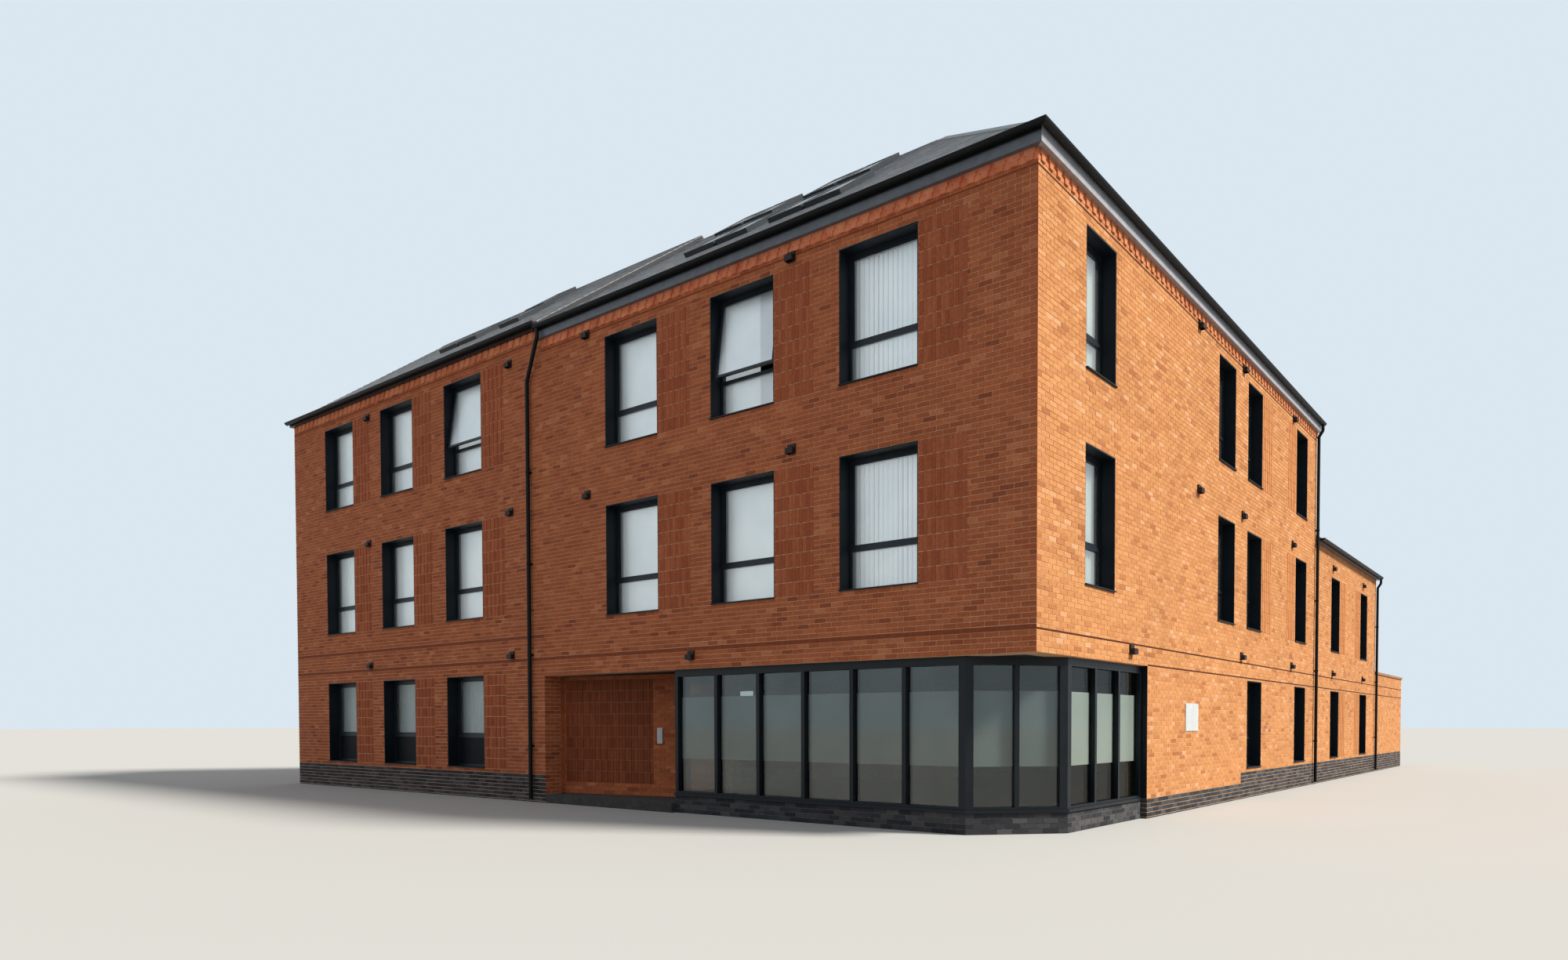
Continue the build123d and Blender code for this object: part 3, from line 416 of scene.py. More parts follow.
FINISHES = {
    MORTAR: [
        "court_wall", "front_wall_left_ground", "front_wall_left_first", "front_wall_left_second",
        "front_wall_right_first", "front_wall_right_second", "party_wall", "rear_wall",
        "side_end_wall", "wing_end_wall", "wing_rear_wall",
    ],
    SUNNY_MORTAR: [
        "side_wall_ground", "side_wall_first", "side_wall_second", "wing_wall_ground", "wing_wall_first",
        "yard_wall",
    ],
    SHADED_PORCH_MORTAR: ["porch_back_wall"],
    BLUE_MORTAR: ["shop_plinth"],
    TOOTHED: ["toothed_course"],
    STONE: ["yard_wall_coping"],
    CONCRETE: ["left_floors", "front_floors", "side_floors"],
    FASCIA: [
        "front_roof_street_slope", "front_roof_court_slope", "side_roof_court_slope",
        "left_roof_street_slope", "left_roof_court_slope", "wing_roof",
    ],
    SUNNY_FASCIA: ["side_roof_street_slope"],
    RIDGE: ["ridge_tiles"],
    METAL: ["window_frames", "rooflight_frames"],
    SHOP_METAL: ["shopfront_frame", "entrance_frame", "entrance_door"],
    LINING: ["reveal_linings"],
    PANEL: ["window_panels"],
    GLASS: ["window_glass", "rooflight_glass"],
    SHOP_GLASS: ["shop_glass"],
    PLASTIC: ["front_gutters", "side_gutters", "downpipes"],
    PLASTER: ["soffits"],
    WHITE: ["wall_plates"],
    COWL: ["wall_vents"],
}
for material, names in FINISHES.items():
    for name in names:
        slots = nodes[name].data.materials
        slots.clear()
        slots.append(material)


# Mesh pieces
def piece(name, points, faces, material, tones=None):
    """A mesh object that rides on the building. tones is one number for each point."""
    mesh = bpy.data.meshes.new(name)
    mesh.from_pydata(np.asarray(points).tolist(), [], [list(f) for f in faces])
    mesh.materials.append(material)
    if tones is not None:
        tone = mesh.attributes.new("tone", "FLOAT", "POINT")
        tone.data.foreach_set("value", np.asarray(tones, np.float32))
    obj = bpy.data.objects.new(name, mesh)
    bpy.context.scene.collection.objects.link(obj)
    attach(obj, "root")
    return obj


class Face:
    """A wall plane: distance along it, distance out of it, and height."""

    def __init__(self, x, y, along, out):
        self.origin = np.array([CORNER.x + x, CORNER.y + y, 0.0])
        self.along = np.array([*along, 0.0])
        self.out = np.array([*out, 0.0])
        self.flip = np.linalg.det(np.array([self.along, self.out, [0, 0, 1]])) < 0

    def place(self, points):
        points = np.asarray(points, float)
        flat = self.origin + points[:, :1] * self.along + points[:, 1:2] * self.out
        return flat + points[:, 2:] * [0, 0, 1]


FRONT = Face(0, 0, (-1, 0), (0, -1))
SIDE = Face(0, 0, (0, 1), (1, 0))
REAR = Face(0, RANGE_DEPTH, (-1, 0), (0, 1))
COURT = Face(-RANGE_DEPTH, 0, (0, 1), (-1, 0))
WING_REAR = Face(-WING_DEPTH, 0, (0, 1), (-1, 0))
PARTY = Face(-FRONT_LENGTH, 0, (0, 1), (-1, 0))
SIDE_END = Face(0, SIDE_LENGTH, (-1, 0), (0, 1))
WING_BACK = Face(0, WING_END, (-1, 0), (0, 1))
YARD_IN = Face(-YARD_WALL, 0, (0, 1), (-1, 0))
YARD_END = Face(0, YARD_END_AT, (-1, 0), (0, 1))
SHOP_END = Face(0, SHOP_SIDE_END, (-1, 0), (0, -1))

BOX_FACES = np.array([(0, 1, 5, 4), (1, 3, 7, 5), (3, 2, 6, 7), (2, 0, 4, 6), (4, 5, 7, 6), (2, 3, 1, 0)])


def boxes(face, rows):
    """Points and faces of boxes given as start, end, inner, outer, bottom, top."""
    rows = np.asarray(rows, float)
    corners = np.stack([
        np.stack([rows[:, i & 1], rows[:, 2 + (i >> 1 & 1)], rows[:, 4 + (i >> 2 & 1)]], axis=1)
        for i in range(8)
    ], axis=1)
    points = face.place(corners.reshape(-1, 3))
    quads = (BOX_FACES[None] + 8 * np.arange(len(rows))[:, None, None]).reshape(-1, 4)
    if face.flip:
        quads = quads[:, ::-1]
    return points, quads


def join(parts):
    """Several sets of points and faces as one."""
    points = []
    faces = []
    count = 0
    for p, f in parts:
        points.append(np.asarray(p))
        if isinstance(f, list):
            faces += [[i + count for i in one] for one in f]
        else:
            faces += (f + count).tolist()
        count += len(p)
    return np.concatenate(points), faces


def box_tones(count):
    """One random tone for each box, on all eight of its points."""
    return np.repeat(rng.random(count), 8)


def box_piece(name, face, rows, material):
    points, faces = boxes(face, rows)
    return piece(name, points, faces, material, box_tones(len(rows)))


# Brickwork
SAME = 1e-6
SLIVER = 1e-4
THINNEST = 0.012
NARROWEST = 0.02
BRICK_SPREAD = 0.0012


def clear_spans(s0, s1, holes, height):
    """What the holes leave of a row at one height."""
    spans = [(s0, s1)]
    for a, b, c, d in holes:
        if c < height < d:
            cut = [part for u, v in spans for part in ((u, min(v, a)), (max(u, b), v))]
            spans = [(u, v) for u, v in cut if v - u > SLIVER]
    return spans


def upright_joints(u, v, start, cell, least):
    """Joints of one course inside a span, none of them too near its ends."""
    out = []
    k = math.ceil((u - start) / cell + SAME)
    while start + k * cell < v - SAME:
        at = start + k * cell
        if at - u > least and v - at > least:
            out.append(at)
        k += 1
    return out


def lay(s0, s1, z0, z1, holes, cell=BRICK, rise=COURSE, base=FIRST_BED, joint=JOINT, shift=0, least=0.03):
    """Rectangles in stretcher bond between s0 and s1 and z0 and z1, cut round the holes."""
    out = []
    first = math.floor((z0 - base) / rise + SAME)
    last = math.ceil((z1 - base) / rise - SAME)
    for n in range(first, last):
        low = base + n * rise
        high = low + rise
        floor, top = max(low, z0), min(high, z1)
        cuts = {floor, top}
        for a, b, c, d in holes:
            if b > s0 and a < s1:
                cuts.update(z for z in (c, d) if floor + THINNEST < z < top - THINNEST)
        cuts = sorted(cuts)
        start = ((n + shift) % 2) * cell / 2
        for bottom, top in zip(cuts, cuts[1:]):
            zb = bottom + (joint / 2 if abs(bottom - low) < SAME else 0)
            zt = top - (joint / 2 if abs(top - high) < SAME else 0)
            for u, v in clear_spans(s0, s1, holes, (bottom + top) / 2):
                edges = [u] + upright_joints(u, v, start, cell, least) + [v]
                for i in range(len(edges) - 1):
                    a = edges[i] + (joint / 2 if i else 0)
                    b = edges[i + 1] - (joint / 2 if i < len(edges) - 2 else 0)
                    out.append((a, b, zb, zt))
    return out


def brick_rows(rects):
    """Boxes for bricks, each a little further in or out than the next."""
    spread = rng.uniform(-BRICK_SPREAD, BRICK_SPREAD, len(rects))
    return [(a, b, BEHIND, PROUD + w, c, d) for (a, b, c, d), w in zip(rects, spread)]


def gable(near, far, bottom, rects):
    """Keeps the bricks under a pitched roof, trimmed to its slopes."""
    out = []
    for a, b, c, d in rects:
        inset = max(0.0, (d - bottom) / SLOPE)
        a = max(a, near + inset)
        b = min(b, far - inset)
        if b - a > NARROWEST:
            out.append((a, b, c, d))
    return out


# Windows
FRONT_OPENING = 1.44
SIDE_OPENING = 1.06
FRONT_PITCH = 2.77
FRONT_STARTS = [1.885 + i * FRONT_PITCH for i in range(3)]
LEFT_STARTS = [12.93 + i * FRONT_PITCH for i in range(3)]
SIDE_STARTS = (1.46, 7.41, 9.31, 13.28)
SIDE_LOW_STARTS = (9.4, 13.28)
WING_STARTS = (17.15, 21.14)
COURT_STARTS = (9.7, 12.7)
FIRST = (course(46), course(73))
SECOND = (course(87), course(114))
LEFT_FIRST, LEFT_SECOND = [(sill + STEP_UP, head + STEP_UP) for sill, head in (FIRST, SECOND)]
LOW = (course(7), course(33))
SIDE_LOW = (course(7), course(31) + 0.04)


def row(starts, width, *levels):
    """Openings of one width at one or more levels."""
    return [(start, start + width, *level) for level in levels for start in starts]


front_first = row(FRONT_STARTS, FRONT_OPENING, FIRST)
front_second = row(FRONT_STARTS, FRONT_OPENING, SECOND)
left_ground = row(LEFT_STARTS, FRONT_OPENING, LOW)
left_first = row(LEFT_STARTS, FRONT_OPENING, LEFT_FIRST)
left_second = row(LEFT_STARTS, FRONT_OPENING, LEFT_SECOND)
side_ground = row(SIDE_LOW_STARTS, SIDE_OPENING, SIDE_LOW)
side_first = row(SIDE_STARTS, SIDE_OPENING, FIRST)
side_second = row(SIDE_STARTS, SIDE_OPENING, SECOND)
front_holes = front_first + front_second
left_holes = left_ground + left_first + left_second
wing_holes = row(WING_STARTS, SIDE_OPENING, SIDE_LOW, FIRST)
court_holes = row(COURT_STARTS, SIDE_OPENING, SIDE_LOW, FIRST, SECOND)

# Ribbed panels stand beside the windows, before or after them on the way from the corner
RIB_WIDTH = 0.8
RIB_GAP = 0.02


def ribs_before(start, level):
    return (start - RIB_GAP - RIB_WIDTH, start - RIB_GAP, *level)


def ribs_after(start, level):
    end = start + SIDE_OPENING + RIB_GAP
    return (end, end + RIB_WIDTH, *level)


front_ribs = [ribs_before(start, level) for start, _, *level in front_holes + left_holes]
side_ribs = []
for (near, far), levels in ((SIDE_STARTS[2:], (FIRST, SECOND)), (WING_STARTS, (SIDE_LOW, FIRST))):
    for level in levels:
        side_ribs += [ribs_after(near, level), ribs_before(far, level)]

# Sunk string lines between the ground and first floors: one all round, one lower on the side street and one
# higher on the front's left part. Another runs under each toothed course. Each is a dark strip set a little
# behind the bricks: painted shade of the sunk course.
STRING_LEVEL = course(36)
LOW_STRING_LEVEL = SHOP_HEAD
LEFT_STRING_LEVEL = course(42)
STRING_HIGH = 0.028
FRONT_STRING_HIGH = 0.07
UNDER_TEETH = course(116)
TEETH_BASE = course(117)
LEFT_UNDER_TEETH = course(119)
LEFT_TEETH_BASE = course(120)


def string(s0, s1, level, high=STRING_HIGH):
    return (s0, s1, level, level + high)


front_strings = [
    string(PAST_CORNER, FRONT_LENGTH, STRING_LEVEL, FRONT_STRING_HIGH),
    string(STEP_AT, FRONT_LENGTH, LEFT_STRING_LEVEL, FRONT_STRING_HIGH),
    string(PAST_CORNER, STEP_AT, UNDER_TEETH),
    string(STEP_AT, FRONT_LENGTH, LEFT_UNDER_TEETH),
]
side_strings = [
    string(PAST_CORNER, WING_END, STRING_LEVEL),
    string(SHOP_SIDE_END, WING_END, LOW_STRING_LEVEL),
    string(PAST_CORNER, SIDE_LENGTH, UNDER_TEETH),
]
yard_strings = [string(WING_END, YARD_END_AT, level) for level in (STRING_LEVEL, LOW_STRING_LEVEL)]
front_teeth = (PAST_CORNER, STEP_AT, TEETH_BASE, BRICK_TOP)
left_teeth = (STEP_AT, FRONT_LENGTH, LEFT_TEETH_BASE, LEFT_TOP)
side_teeth = (PAST_CORNER, SIDE_LENGTH, TEETH_BASE, BRICK_TOP)

# Walls of bricks. Gables are laid nearly to their ridge, then trimmed to slopes that start above the eaves.
SLOPES_UP = 0.1
WING_SLOPES_UP = 0.02
GABLE_HIGH = 3.1
WING_GABLE_HIGH = 2.2
FRONT_OUT = FRONT_LENGTH + PROUD
WING_OUT = WING_END + PROUD
tall_plinth = (PLINTH_STEP, WING_END, 0, PLINTH_HIGH)
behind_wing = (-1, WING_DEPTH, 0, WING_TOP)
behind_yard = (-1, YARD_WALL, 0, YARD_HEIGHT)

bricks_front_right = lay(
    -PROUD, STEP_AT, SHOP_HEAD, BRICK_TOP, front_holes + front_ribs + front_strings + [front_teeth],
)
bricks_front_left = lay(
    STEP_AT, FRONT_OUT, PLINTH_HIGH, LEFT_TOP, left_holes + front_ribs + front_strings + [left_teeth],
)
bricks_side = lay(
    0, SIDE_LENGTH, SHOP_HEAD, BRICK_TOP, side_first + side_second + side_ribs + side_strings + [side_teeth],
    shift=1,
)
bricks_side += lay(
    SHOP_SIDE_END, SIDE_LENGTH, PLINTH_LOW, SHOP_HEAD, side_ground + side_strings + [tall_plinth], shift=1,
)
bricks_wing = lay(
    SIDE_LENGTH, WING_OUT, PLINTH_HIGH, WING_TOP, wing_holes + side_ribs + side_strings, shift=1,
)
bricks_yard = lay(WING_OUT, YARD_END_AT + PROUD, PLINTH_HIGH, YARD_HEIGHT, yard_strings, shift=1)
bricks_rear = lay(STEP_AT, FRONT_OUT, 0, LEFT_TOP, left_holes) + lay(RANGE_DEPTH, STEP_AT, 0, BRICK_TOP, [])
bricks_party = gable(
    0, RANGE_DEPTH, LEFT_TOP + SLOPES_UP, lay(0, RANGE_DEPTH, 0, LEFT_TOP + GABLE_HIGH, []),
)
bricks_side_end = gable(
    0, RANGE_DEPTH, BRICK_TOP + SLOPES_UP, lay(0, RANGE_DEPTH, 0, BRICK_TOP + GABLE_HIGH, [behind_wing]),
)
bricks_wing_end = gable(
    0, WING_DEPTH, WING_TOP + WING_SLOPES_UP,
    lay(0, WING_DEPTH, 0, WING_TOP + WING_GABLE_HIGH, [behind_yard]),
)
for name, face, rects, finish in (
    ("bricks_front_right", FRONT, bricks_front_right, RED),
    ("bricks_front_left", FRONT, bricks_front_left, RED),
    ("bricks_side", SIDE, bricks_side, SUNNY),
    ("bricks_wing", SIDE, bricks_wing, SUNNY),
    ("bricks_yard", SIDE, bricks_yard, SUNNY),
    ("bricks_yard_inside", YARD_IN, lay(WING_END, YARD_END_AT, 0, YARD_HEIGHT, [], shift=1), RED),
    ("bricks_yard_end", YARD_END, lay(0, YARD_WALL, 0, YARD_HEIGHT, []), SUNNY),
    ("bricks_rear", REAR, bricks_rear, RED),
    ("bricks_court", COURT, lay(RANGE_DEPTH, SIDE_LENGTH + PROUD, 0, BRICK_TOP, court_holes), RED),
    ("bricks_wing_rear", WING_REAR, lay(SIDE_LENGTH, WING_OUT, 0, WING_TOP, wing_holes), RED),
    ("bricks_party", PARTY, bricks_party, RED),
    ("bricks_side_end", SIDE_END, bricks_side_end, RED),
    ("bricks_wing_end", WING_BACK, bricks_wing_end, RED),
):
    box_piece(name, face, brick_rows(rects), finish)

plinth_side = lay(SHOP_SIDE_END, PLINTH_STEP, 0, PLINTH_LOW, [], shift=1)
plinth_side += lay(PLINTH_STEP, YARD_END_AT, 0, PLINTH_HIGH, [], shift=1)
for name, face, rects in (
    ("plinth_front_left", FRONT, lay(STEP_AT, FRONT_OUT, 0, PLINTH_HIGH, [])),
    ("plinth_side", SIDE, plinth_side),
    ("plinth_shop_end", SHOP_END, lay(0, SHOP_BACK, 0, PLINTH_LOW, [])),
):
    box_piece(name, face, brick_rows(rects), BLUE)

TRIM_PROUD = 0.003
BOARD_PROUD = 0.017
trim = (0.004, SHOP_BACK, BEHIND, TRIM_PROUD, PLINTH_LOW, SHOP_HEAD)
board = (5.66, 6.32, BEHIND, BOARD_PROUD, 1.428, 1.925)
box_piece("shop_end_trim", SHOP_END, [trim], SHOP_METAL)
box_piece("notice_board", SIDE, [board], WHITE)

# Plinth under the shop window, along each run of its screen
shop_points = [
    (-SHOP_FRONT_END, SHOP_BACK), (-CHAMFER, SHOP_BACK), (-SHOP_BACK, CHAMFER), (-SHOP_BACK, SHOP_SIDE_END),
]
shop_runs = []
for (x0, y0), (x1, y1) in zip(shop_points, shop_points[1:]):
    length = math.dist((x0, y0), (x1, y1))
    along = ((x1 - x0) / length, (y1 - y0) / length)
    shop_runs.append((Face(x0, y0, along, (along[1], -along[0])), length))
parts = []
tones = []
for run, length in shop_runs:
    rows = brick_rows(lay(0, length, 0, SHOP_PLINTH, [], base=0.0))
    parts.append(boxes(run, rows))
    tones.append(box_tones(len(rows)))
points, faces = join(parts)
piece("plinth_shop", points, faces, BLUE, np.concatenate(tones))

# Porch: bricks on the angled back wall and the step's return
porch_start = np.array([-STEP_AT, PORCH_FAR])
porch_stop = np.array([-SHOP_FRONT_END, PORCH_NEAR])
porch_length = float(np.linalg.norm(porch_stop - porch_start))
porch_along = (porch_stop - porch_start) / porch_length
PORCH = Face(-STEP_AT, PORCH_FAR, tuple(porch_along), (porch_along[1], -porch_along[0]))
RETURN = Face(-STEP_AT, 0, (0, 1), (1, 0))
PORCH_RIBS = (0.04, 2.2, course(4), course(31))
rows = brick_rows(lay(0, porch_length, FLOOR_TOP, SHOP_HEAD, [PORCH_RIBS]))
return_rows = brick_rows(lay(0, PORCH_FAR, FLOOR_TOP, SHOP_HEAD, []))
points, faces = join([boxes(PORCH, rows), boxes(RETURN, return_rows)])
piece("bricks_porch", points, faces, RED, box_tones(len(rows) + len(return_rows)))

# Ribs are soldier bricks stacked in bands, every other one standing further out
RIB_OUT = 0.006
RIB_JOINT = 0.004
RIB_BED = 0.006


def ribs(rects):
    out = []
    for a, b, c, d in rects:
        count = round((b - a) / COURSE)
        width = (b - a) / count
        bands = round((d - c) / BRICK)
        high = (d - c) / bands
        for j in range(bands):
            for i in range(count):
                out.append((
                    a + i * width + RIB_JOINT, a + (i + 1) * width - RIB_JOINT,
                    BEHIND, PROUD + (RIB_OUT if i % 2 else 0.0),
                    c + j * high + RIB_BED, c + (j + 1) * high - RIB_BED,
                ))
    return out


for name, face, rects, finish in (
    ("ribbed_panels_front", FRONT, front_ribs, RIBBED),
    ("ribbed_panels_side", SIDE, side_ribs, SUNNY_RIBBED),
    ("ribbed_panel_porch", PORCH, [PORCH_RIBS], SHADED_PORCH_RIBBED),
):
    box_piece(name, face, ribs(rects), finish)

# Entry panel in the porch, right of the ribbed panel
entry_panel = (2.31, 2.43, BEHIND, 0.03, 1.18, 1.48)
box_piece("entry_panel", PORCH, [entry_panel], WHITE)

# Painted shade: the string lines are dark strips, just behind the bricks' faces
LINE_PROUD = 0.001
for name, face, rects, finish in (
    ("string_lines_front", FRONT, front_strings, FRONT_STRING_SHADE),
    ("string_lines_side", SIDE, side_strings + yard_strings, LINE),
):
    rows = [(max(a, 0.0), b, BEHIND, LINE_PROUD, c, d) for a, b, c, d in rects]
    box_piece(name, face, rows, finish)

# The front's left part has a toothed course too: each tooth is a header below a wider brick
TOOTH_PROUD = 0.018
HALF_HEADER = 0.051
HALF_TOP = 0.08
middle = (LEFT_TEETH_BASE + LEFT_TOP) / 2
rows = [(STEP_AT, FRONT_LENGTH, BEHIND, LINE_PROUD, LEFT_TEETH_BASE, LEFT_TOP)]
for i in range(round((FRONT_LENGTH - STEP_AT) / BRICK)):
    centre = STEP_AT + (i + 0.5) * BRICK
    for reach, low, high in ((HALF_HEADER, LEFT_TEETH_BASE, middle), (HALF_TOP, middle, LEFT_TOP)):
        rows.append((centre - reach, centre + reach, BEHIND, TOOTH_PROUD, low, high))
box_piece("toothed_left", FRONT, rows, TOOTHED)

# Slates in rows up each slope, cut to the hip, the valley and the roof windows. Each is thicker at its foot.
SLATE_WIDE = 0.25
SLATE_RISE = 0.2
SLATE_GAP = 0.004
SLATE_FOOT = 0.012
SLATE_TAPER = 0.009
SLATE_SPREAD = 0.0008
FLAT_COS = math.cos(PITCH)
FLAT_SIN = math.sin(PITCH)


def clipped(shape, region):
    """The part of one convex shape that lies in another, both anticlockwise."""
    for (ax, ay), (bx, by) in zip(region, region[1:] + region[:1]):
        kept = []
        for (px, py), (qx, qy) in zip(shape, shape[1:] + shape[:1]):
            dp = (bx - ax) * (py - ay) - (by - ay) * (px - ax)
            dq = (bx - ax) * (qy - ay) - (by - ay) * (qx - ax)
            if dp >= 0:
                kept.append((px, py))
            if dp * dq < 0:
                t = dp / (dp - dq)
                kept.append((px + (qx - px) * t, py + (qy - py) * t))
        shape = kept
        if len(shape) < 3:
            return []
    return shape


def slates(name, origin, along, inward, region, holes):
    """origin is the eaves line's start; inward points up the slope in plan."""
    base = np.array([CORNER.x + origin[0], CORNER.y + origin[1], origin[2]])
    side_way = np.array([*along, 0.0])
    up_way = np.array([inward[0] * FLAT_COS, inward[1] * FLAT_COS, FLAT_SIN])
    normal = np.array([-inward[0] * FLAT_SIN, -inward[1] * FLAT_SIN, FLAT_COS])
    flip = float(np.dot(np.cross(side_way, up_way), normal)) < 0
    near = min(s for s, u in region)
    far = max(s for s, u in region)
    top = max(u for s, u in region)
    points = []
    faces = []
    tones = []
    for a, b, c, d in lay(near, far, 0, top, holes, SLATE_WIDE, SLATE_RISE, 0.0, SLATE_GAP, least=0.04):
        foot = math.floor(c / SLATE_RISE + SAME) * SLATE_RISE
        low = c - SLATE_GAP / 2
        high = d + SLATE_GAP / 2
        shape = clipped([(a, low), (b, low), (b, high), (a, high)], region)
        if len(shape) < 3:
            continue
        lift = rng.uniform(-SLATE_SPREAD, SLATE_SPREAD)
        count = len(points)
        points += [base + s * side_way + u * up_way + normal * BEHIND for s, u in shape]
        for s, u in shape:
            thick = SLATE_FOOT - SLATE_TAPER * (u - foot) / SLATE_RISE + lift
            points.append(base + s * side_way + u * up_way + normal * thick)
        n = len(shape)
        made = [[count + n + i for i in range(n)], [count + n - 1 - i for i in range(n)]]
        made += [[count + i, count + (i + 1) % n, count + n + (i + 1) % n, count + n + i] for i in range(n)]
        faces += [one[::-1] for one in made] if flip else made
        # The eaves course takes the top tone: a painted highlight along the eaves
        tones += [1.0 if foot == 0 else 0.9 * rng.random()] * (2 * n)
    piece(name, points, faces, SLATE, tones)


HALF = RANGE_DEPTH / 2
LONG = (HALF + EAVES_OUT) / FLAT_COS
WING_LONG = (WING_DEPTH / 2 + EAVES_OUT) / FLAT_COS
MAIN_EAVES = BRICK_TOP + 0.24
LEFT_EAVES = LEFT_TOP + 0.115
WING_EAVES = WING_TOP + 0.1
VERGE = 0.05
SIDE_VERGE = SIDE_LENGTH + VERGE
LEFT_VERGE = FRONT_LENGTH + VERGE
WING_VERGE = WING_END + VERGE
FAR_EAVES = RANGE_DEPTH + EAVES_OUT
WING_FAR_EAVES = WING_DEPTH + EAVES_OUT

# Roof windows, by their far edge along the front and their lower edge up the slope
LIGHT_WIDE = 0.78
LIGHT_LONG = 1.18
ROOFLIGHTS = {1.75: (8.1, 7.25, 5.95, 5.1), 3.95: (9.1, 8.25, 6.65, 5.8, 15.85), 2.35: (17.6, 16.75, 15.0)}
light_holes = [
    (along - LIGHT_WIDE, along, up, up + LIGHT_LONG) for up, places in ROOFLIGHTS.items() for along in places
]


def slope(start, end, length, far_start=None):
    """Outline of a slope; far_start is where its ridge begins, if that isn't straight above its start."""
    return [(start, 0), (end, 0), (end, length), (start if far_start is None else far_start, length)]


front_hip = slope(-EAVES_OUT, STEP_AT, LONG, HALF)
front_valley = slope(FAR_EAVES, STEP_AT, LONG, HALF)
side_hip = slope(-EAVES_OUT, SIDE_VERGE, LONG, HALF)
side_valley = slope(FAR_EAVES, SIDE_VERGE, LONG, HALF)
left_slope = slope(STEP_AT, LEFT_VERGE, LONG)
wing_slope = slope(SIDE_LENGTH, WING_VERGE, WING_LONG)
for name, origin, along, inward, outline, holes in (
    ("slates_front_street", (0, -EAVES_OUT, MAIN_EAVES), (-1, 0), (0, 1), front_hip, light_holes),
    ("slates_front_court", (0, FAR_EAVES, MAIN_EAVES), (-1, 0), (0, -1), front_valley, []),
    ("slates_side_street", (EAVES_OUT, 0, MAIN_EAVES), (0, 1), (-1, 0), side_hip, []),
    ("slates_side_court", (-FAR_EAVES, 0, MAIN_EAVES), (0, 1), (1, 0), side_valley, []),
    ("slates_left_street", (0, -EAVES_OUT, LEFT_EAVES), (-1, 0), (0, 1), left_slope, light_holes),
    ("slates_left_court", (0, FAR_EAVES, LEFT_EAVES), (-1, 0), (0, -1), left_slope, []),
    ("slates_wing_street", (EAVES_OUT, 0, WING_EAVES), (0, 1), (-1, 0), wing_slope, []),
    ("slates_wing_court", (-WING_FAR_EAVES, 0, WING_EAVES), (0, 1), (1, 0), wing_slope, []),
):
    slates(name, origin, along, inward, outline, holes)

# Blinds and curtains behind the street windows
BLIND_DEPTH = 0.325
BLIND_THICK = 0.002
SLAT_PITCH = 0.089
SLAT_OVERLAP = 1.12
SLAT_TURN = 0.35
SLAT_SWING = 0.12
SLAT_BOW = 0.006
SLAT_MARGIN = 0.05
SLAT_FOOT = 0.05
SLAT_HEAD = 0.03
SLAT_STEPS = 4
DRAPE_FOOT = 0.04
DRAPE_HEAD = 0.02
DRAPE_STEPS = 42
FOLD_START = 0.7
FOLD_AT_HEAD = 0.6


def slatted(hole):
    """A vertical blind: narrow curved strips hung side by side."""
    a, b, c, d = hole
    points = []
    faces = []
    count = round((b - a - 2 * SLAT_MARGIN) / SLAT_PITCH)
    for i in range(count):
        mid = a + SLAT_MARGIN + (i + 0.5) * SLAT_PITCH
        angle = SLAT_TURN + rng.uniform(-SLAT_SWING, SLAT_SWING)
        start = len(points)
        for j in range(SLAT_STEPS + 1):
            across = (j / SLAT_STEPS - 0.5) * SLAT_PITCH * SLAT_OVERLAP
            bow = SLAT_BOW * (1 - (2 * j / SLAT_STEPS - 1) ** 2)
            s = mid + across * math.cos(angle)
            depth = BLIND_DEPTH + across * math.sin(angle) + bow
            points += [(s, -depth, c + SLAT_FOOT), (s, -depth, d - SLAT_HEAD)]
        faces += [[k, k + 2, k + 3, k + 1] for k in range(start, start + 2 * SLAT_STEPS, 2)]
    return points, faces


def drape(hole, folds, deep=0.012, share=1.0, near=False):
    """A hanging sheet with soft folds, over all of the opening or its far or near part."""
    a, b, c, d = hole
    if near:
        b = a + (b - a) * share
    else:
        a = b - (b - a) * share
    points = []
    for i in range(DRAPE_STEPS + 1):
        s = a + (b - a) * i / DRAPE_STEPS
        wave = math.sin(2 * math.pi * folds * i / DRAPE_STEPS + FOLD_START) * deep
        points.append((s, -BLIND_DEPTH - wave, c + DRAPE_FOOT))
        points.append((s, -BLIND_DEPTH - wave * FOLD_AT_HEAD, d - DRAPE_HEAD))
    return points, [[k, k + 2, k + 3, k + 1] for k in range(0, 2 * DRAPE_STEPS, 2)]


def hung(name, face, sheets, finish=BLIND):
    points, faces = join(sheets)
    obj = piece(name, face.place(points), faces, finish)
    solid = obj.modifiers.new("thickness", "SOLIDIFY")
    solid.thickness = BLIND_THICK


hung("blinds_front_first_bay", FRONT, [slatted(front_second[0]), slatted(front_first[0])])
hung("curtains_front", FRONT, [
    drape(front_second[1], 2, 0.01, 0.58), drape(front_second[1], 1, 0.004, 0.16, near=True),
    drape(front_second[2], 1, 0.006), drape(front_first[1], 6), drape(front_first[2], 9, 0.016),
])
hung("curtains_left", FRONT, [
    drape(left_second[0], 2, 0.01), drape(left_second[1], 1, 0.008), drape(left_second[2], 1, 0.008),
    drape(left_first[0], 8, 0.02), drape(left_first[1], 5, 0.02), drape(left_first[2], 6, 0.014),
])
hung("blinds_ground", FRONT, [
    drape(left_ground[0], 9, 0.012), drape(left_ground[1], 2, 0.008), drape(left_ground[2], 3, 0.01),
], GREY_BLIND)
hung("blinds_side", SIDE, [drape(side_second[0], 4, 0.01, 0.45), drape(side_first[0], 4, 0.01, 0.45)])

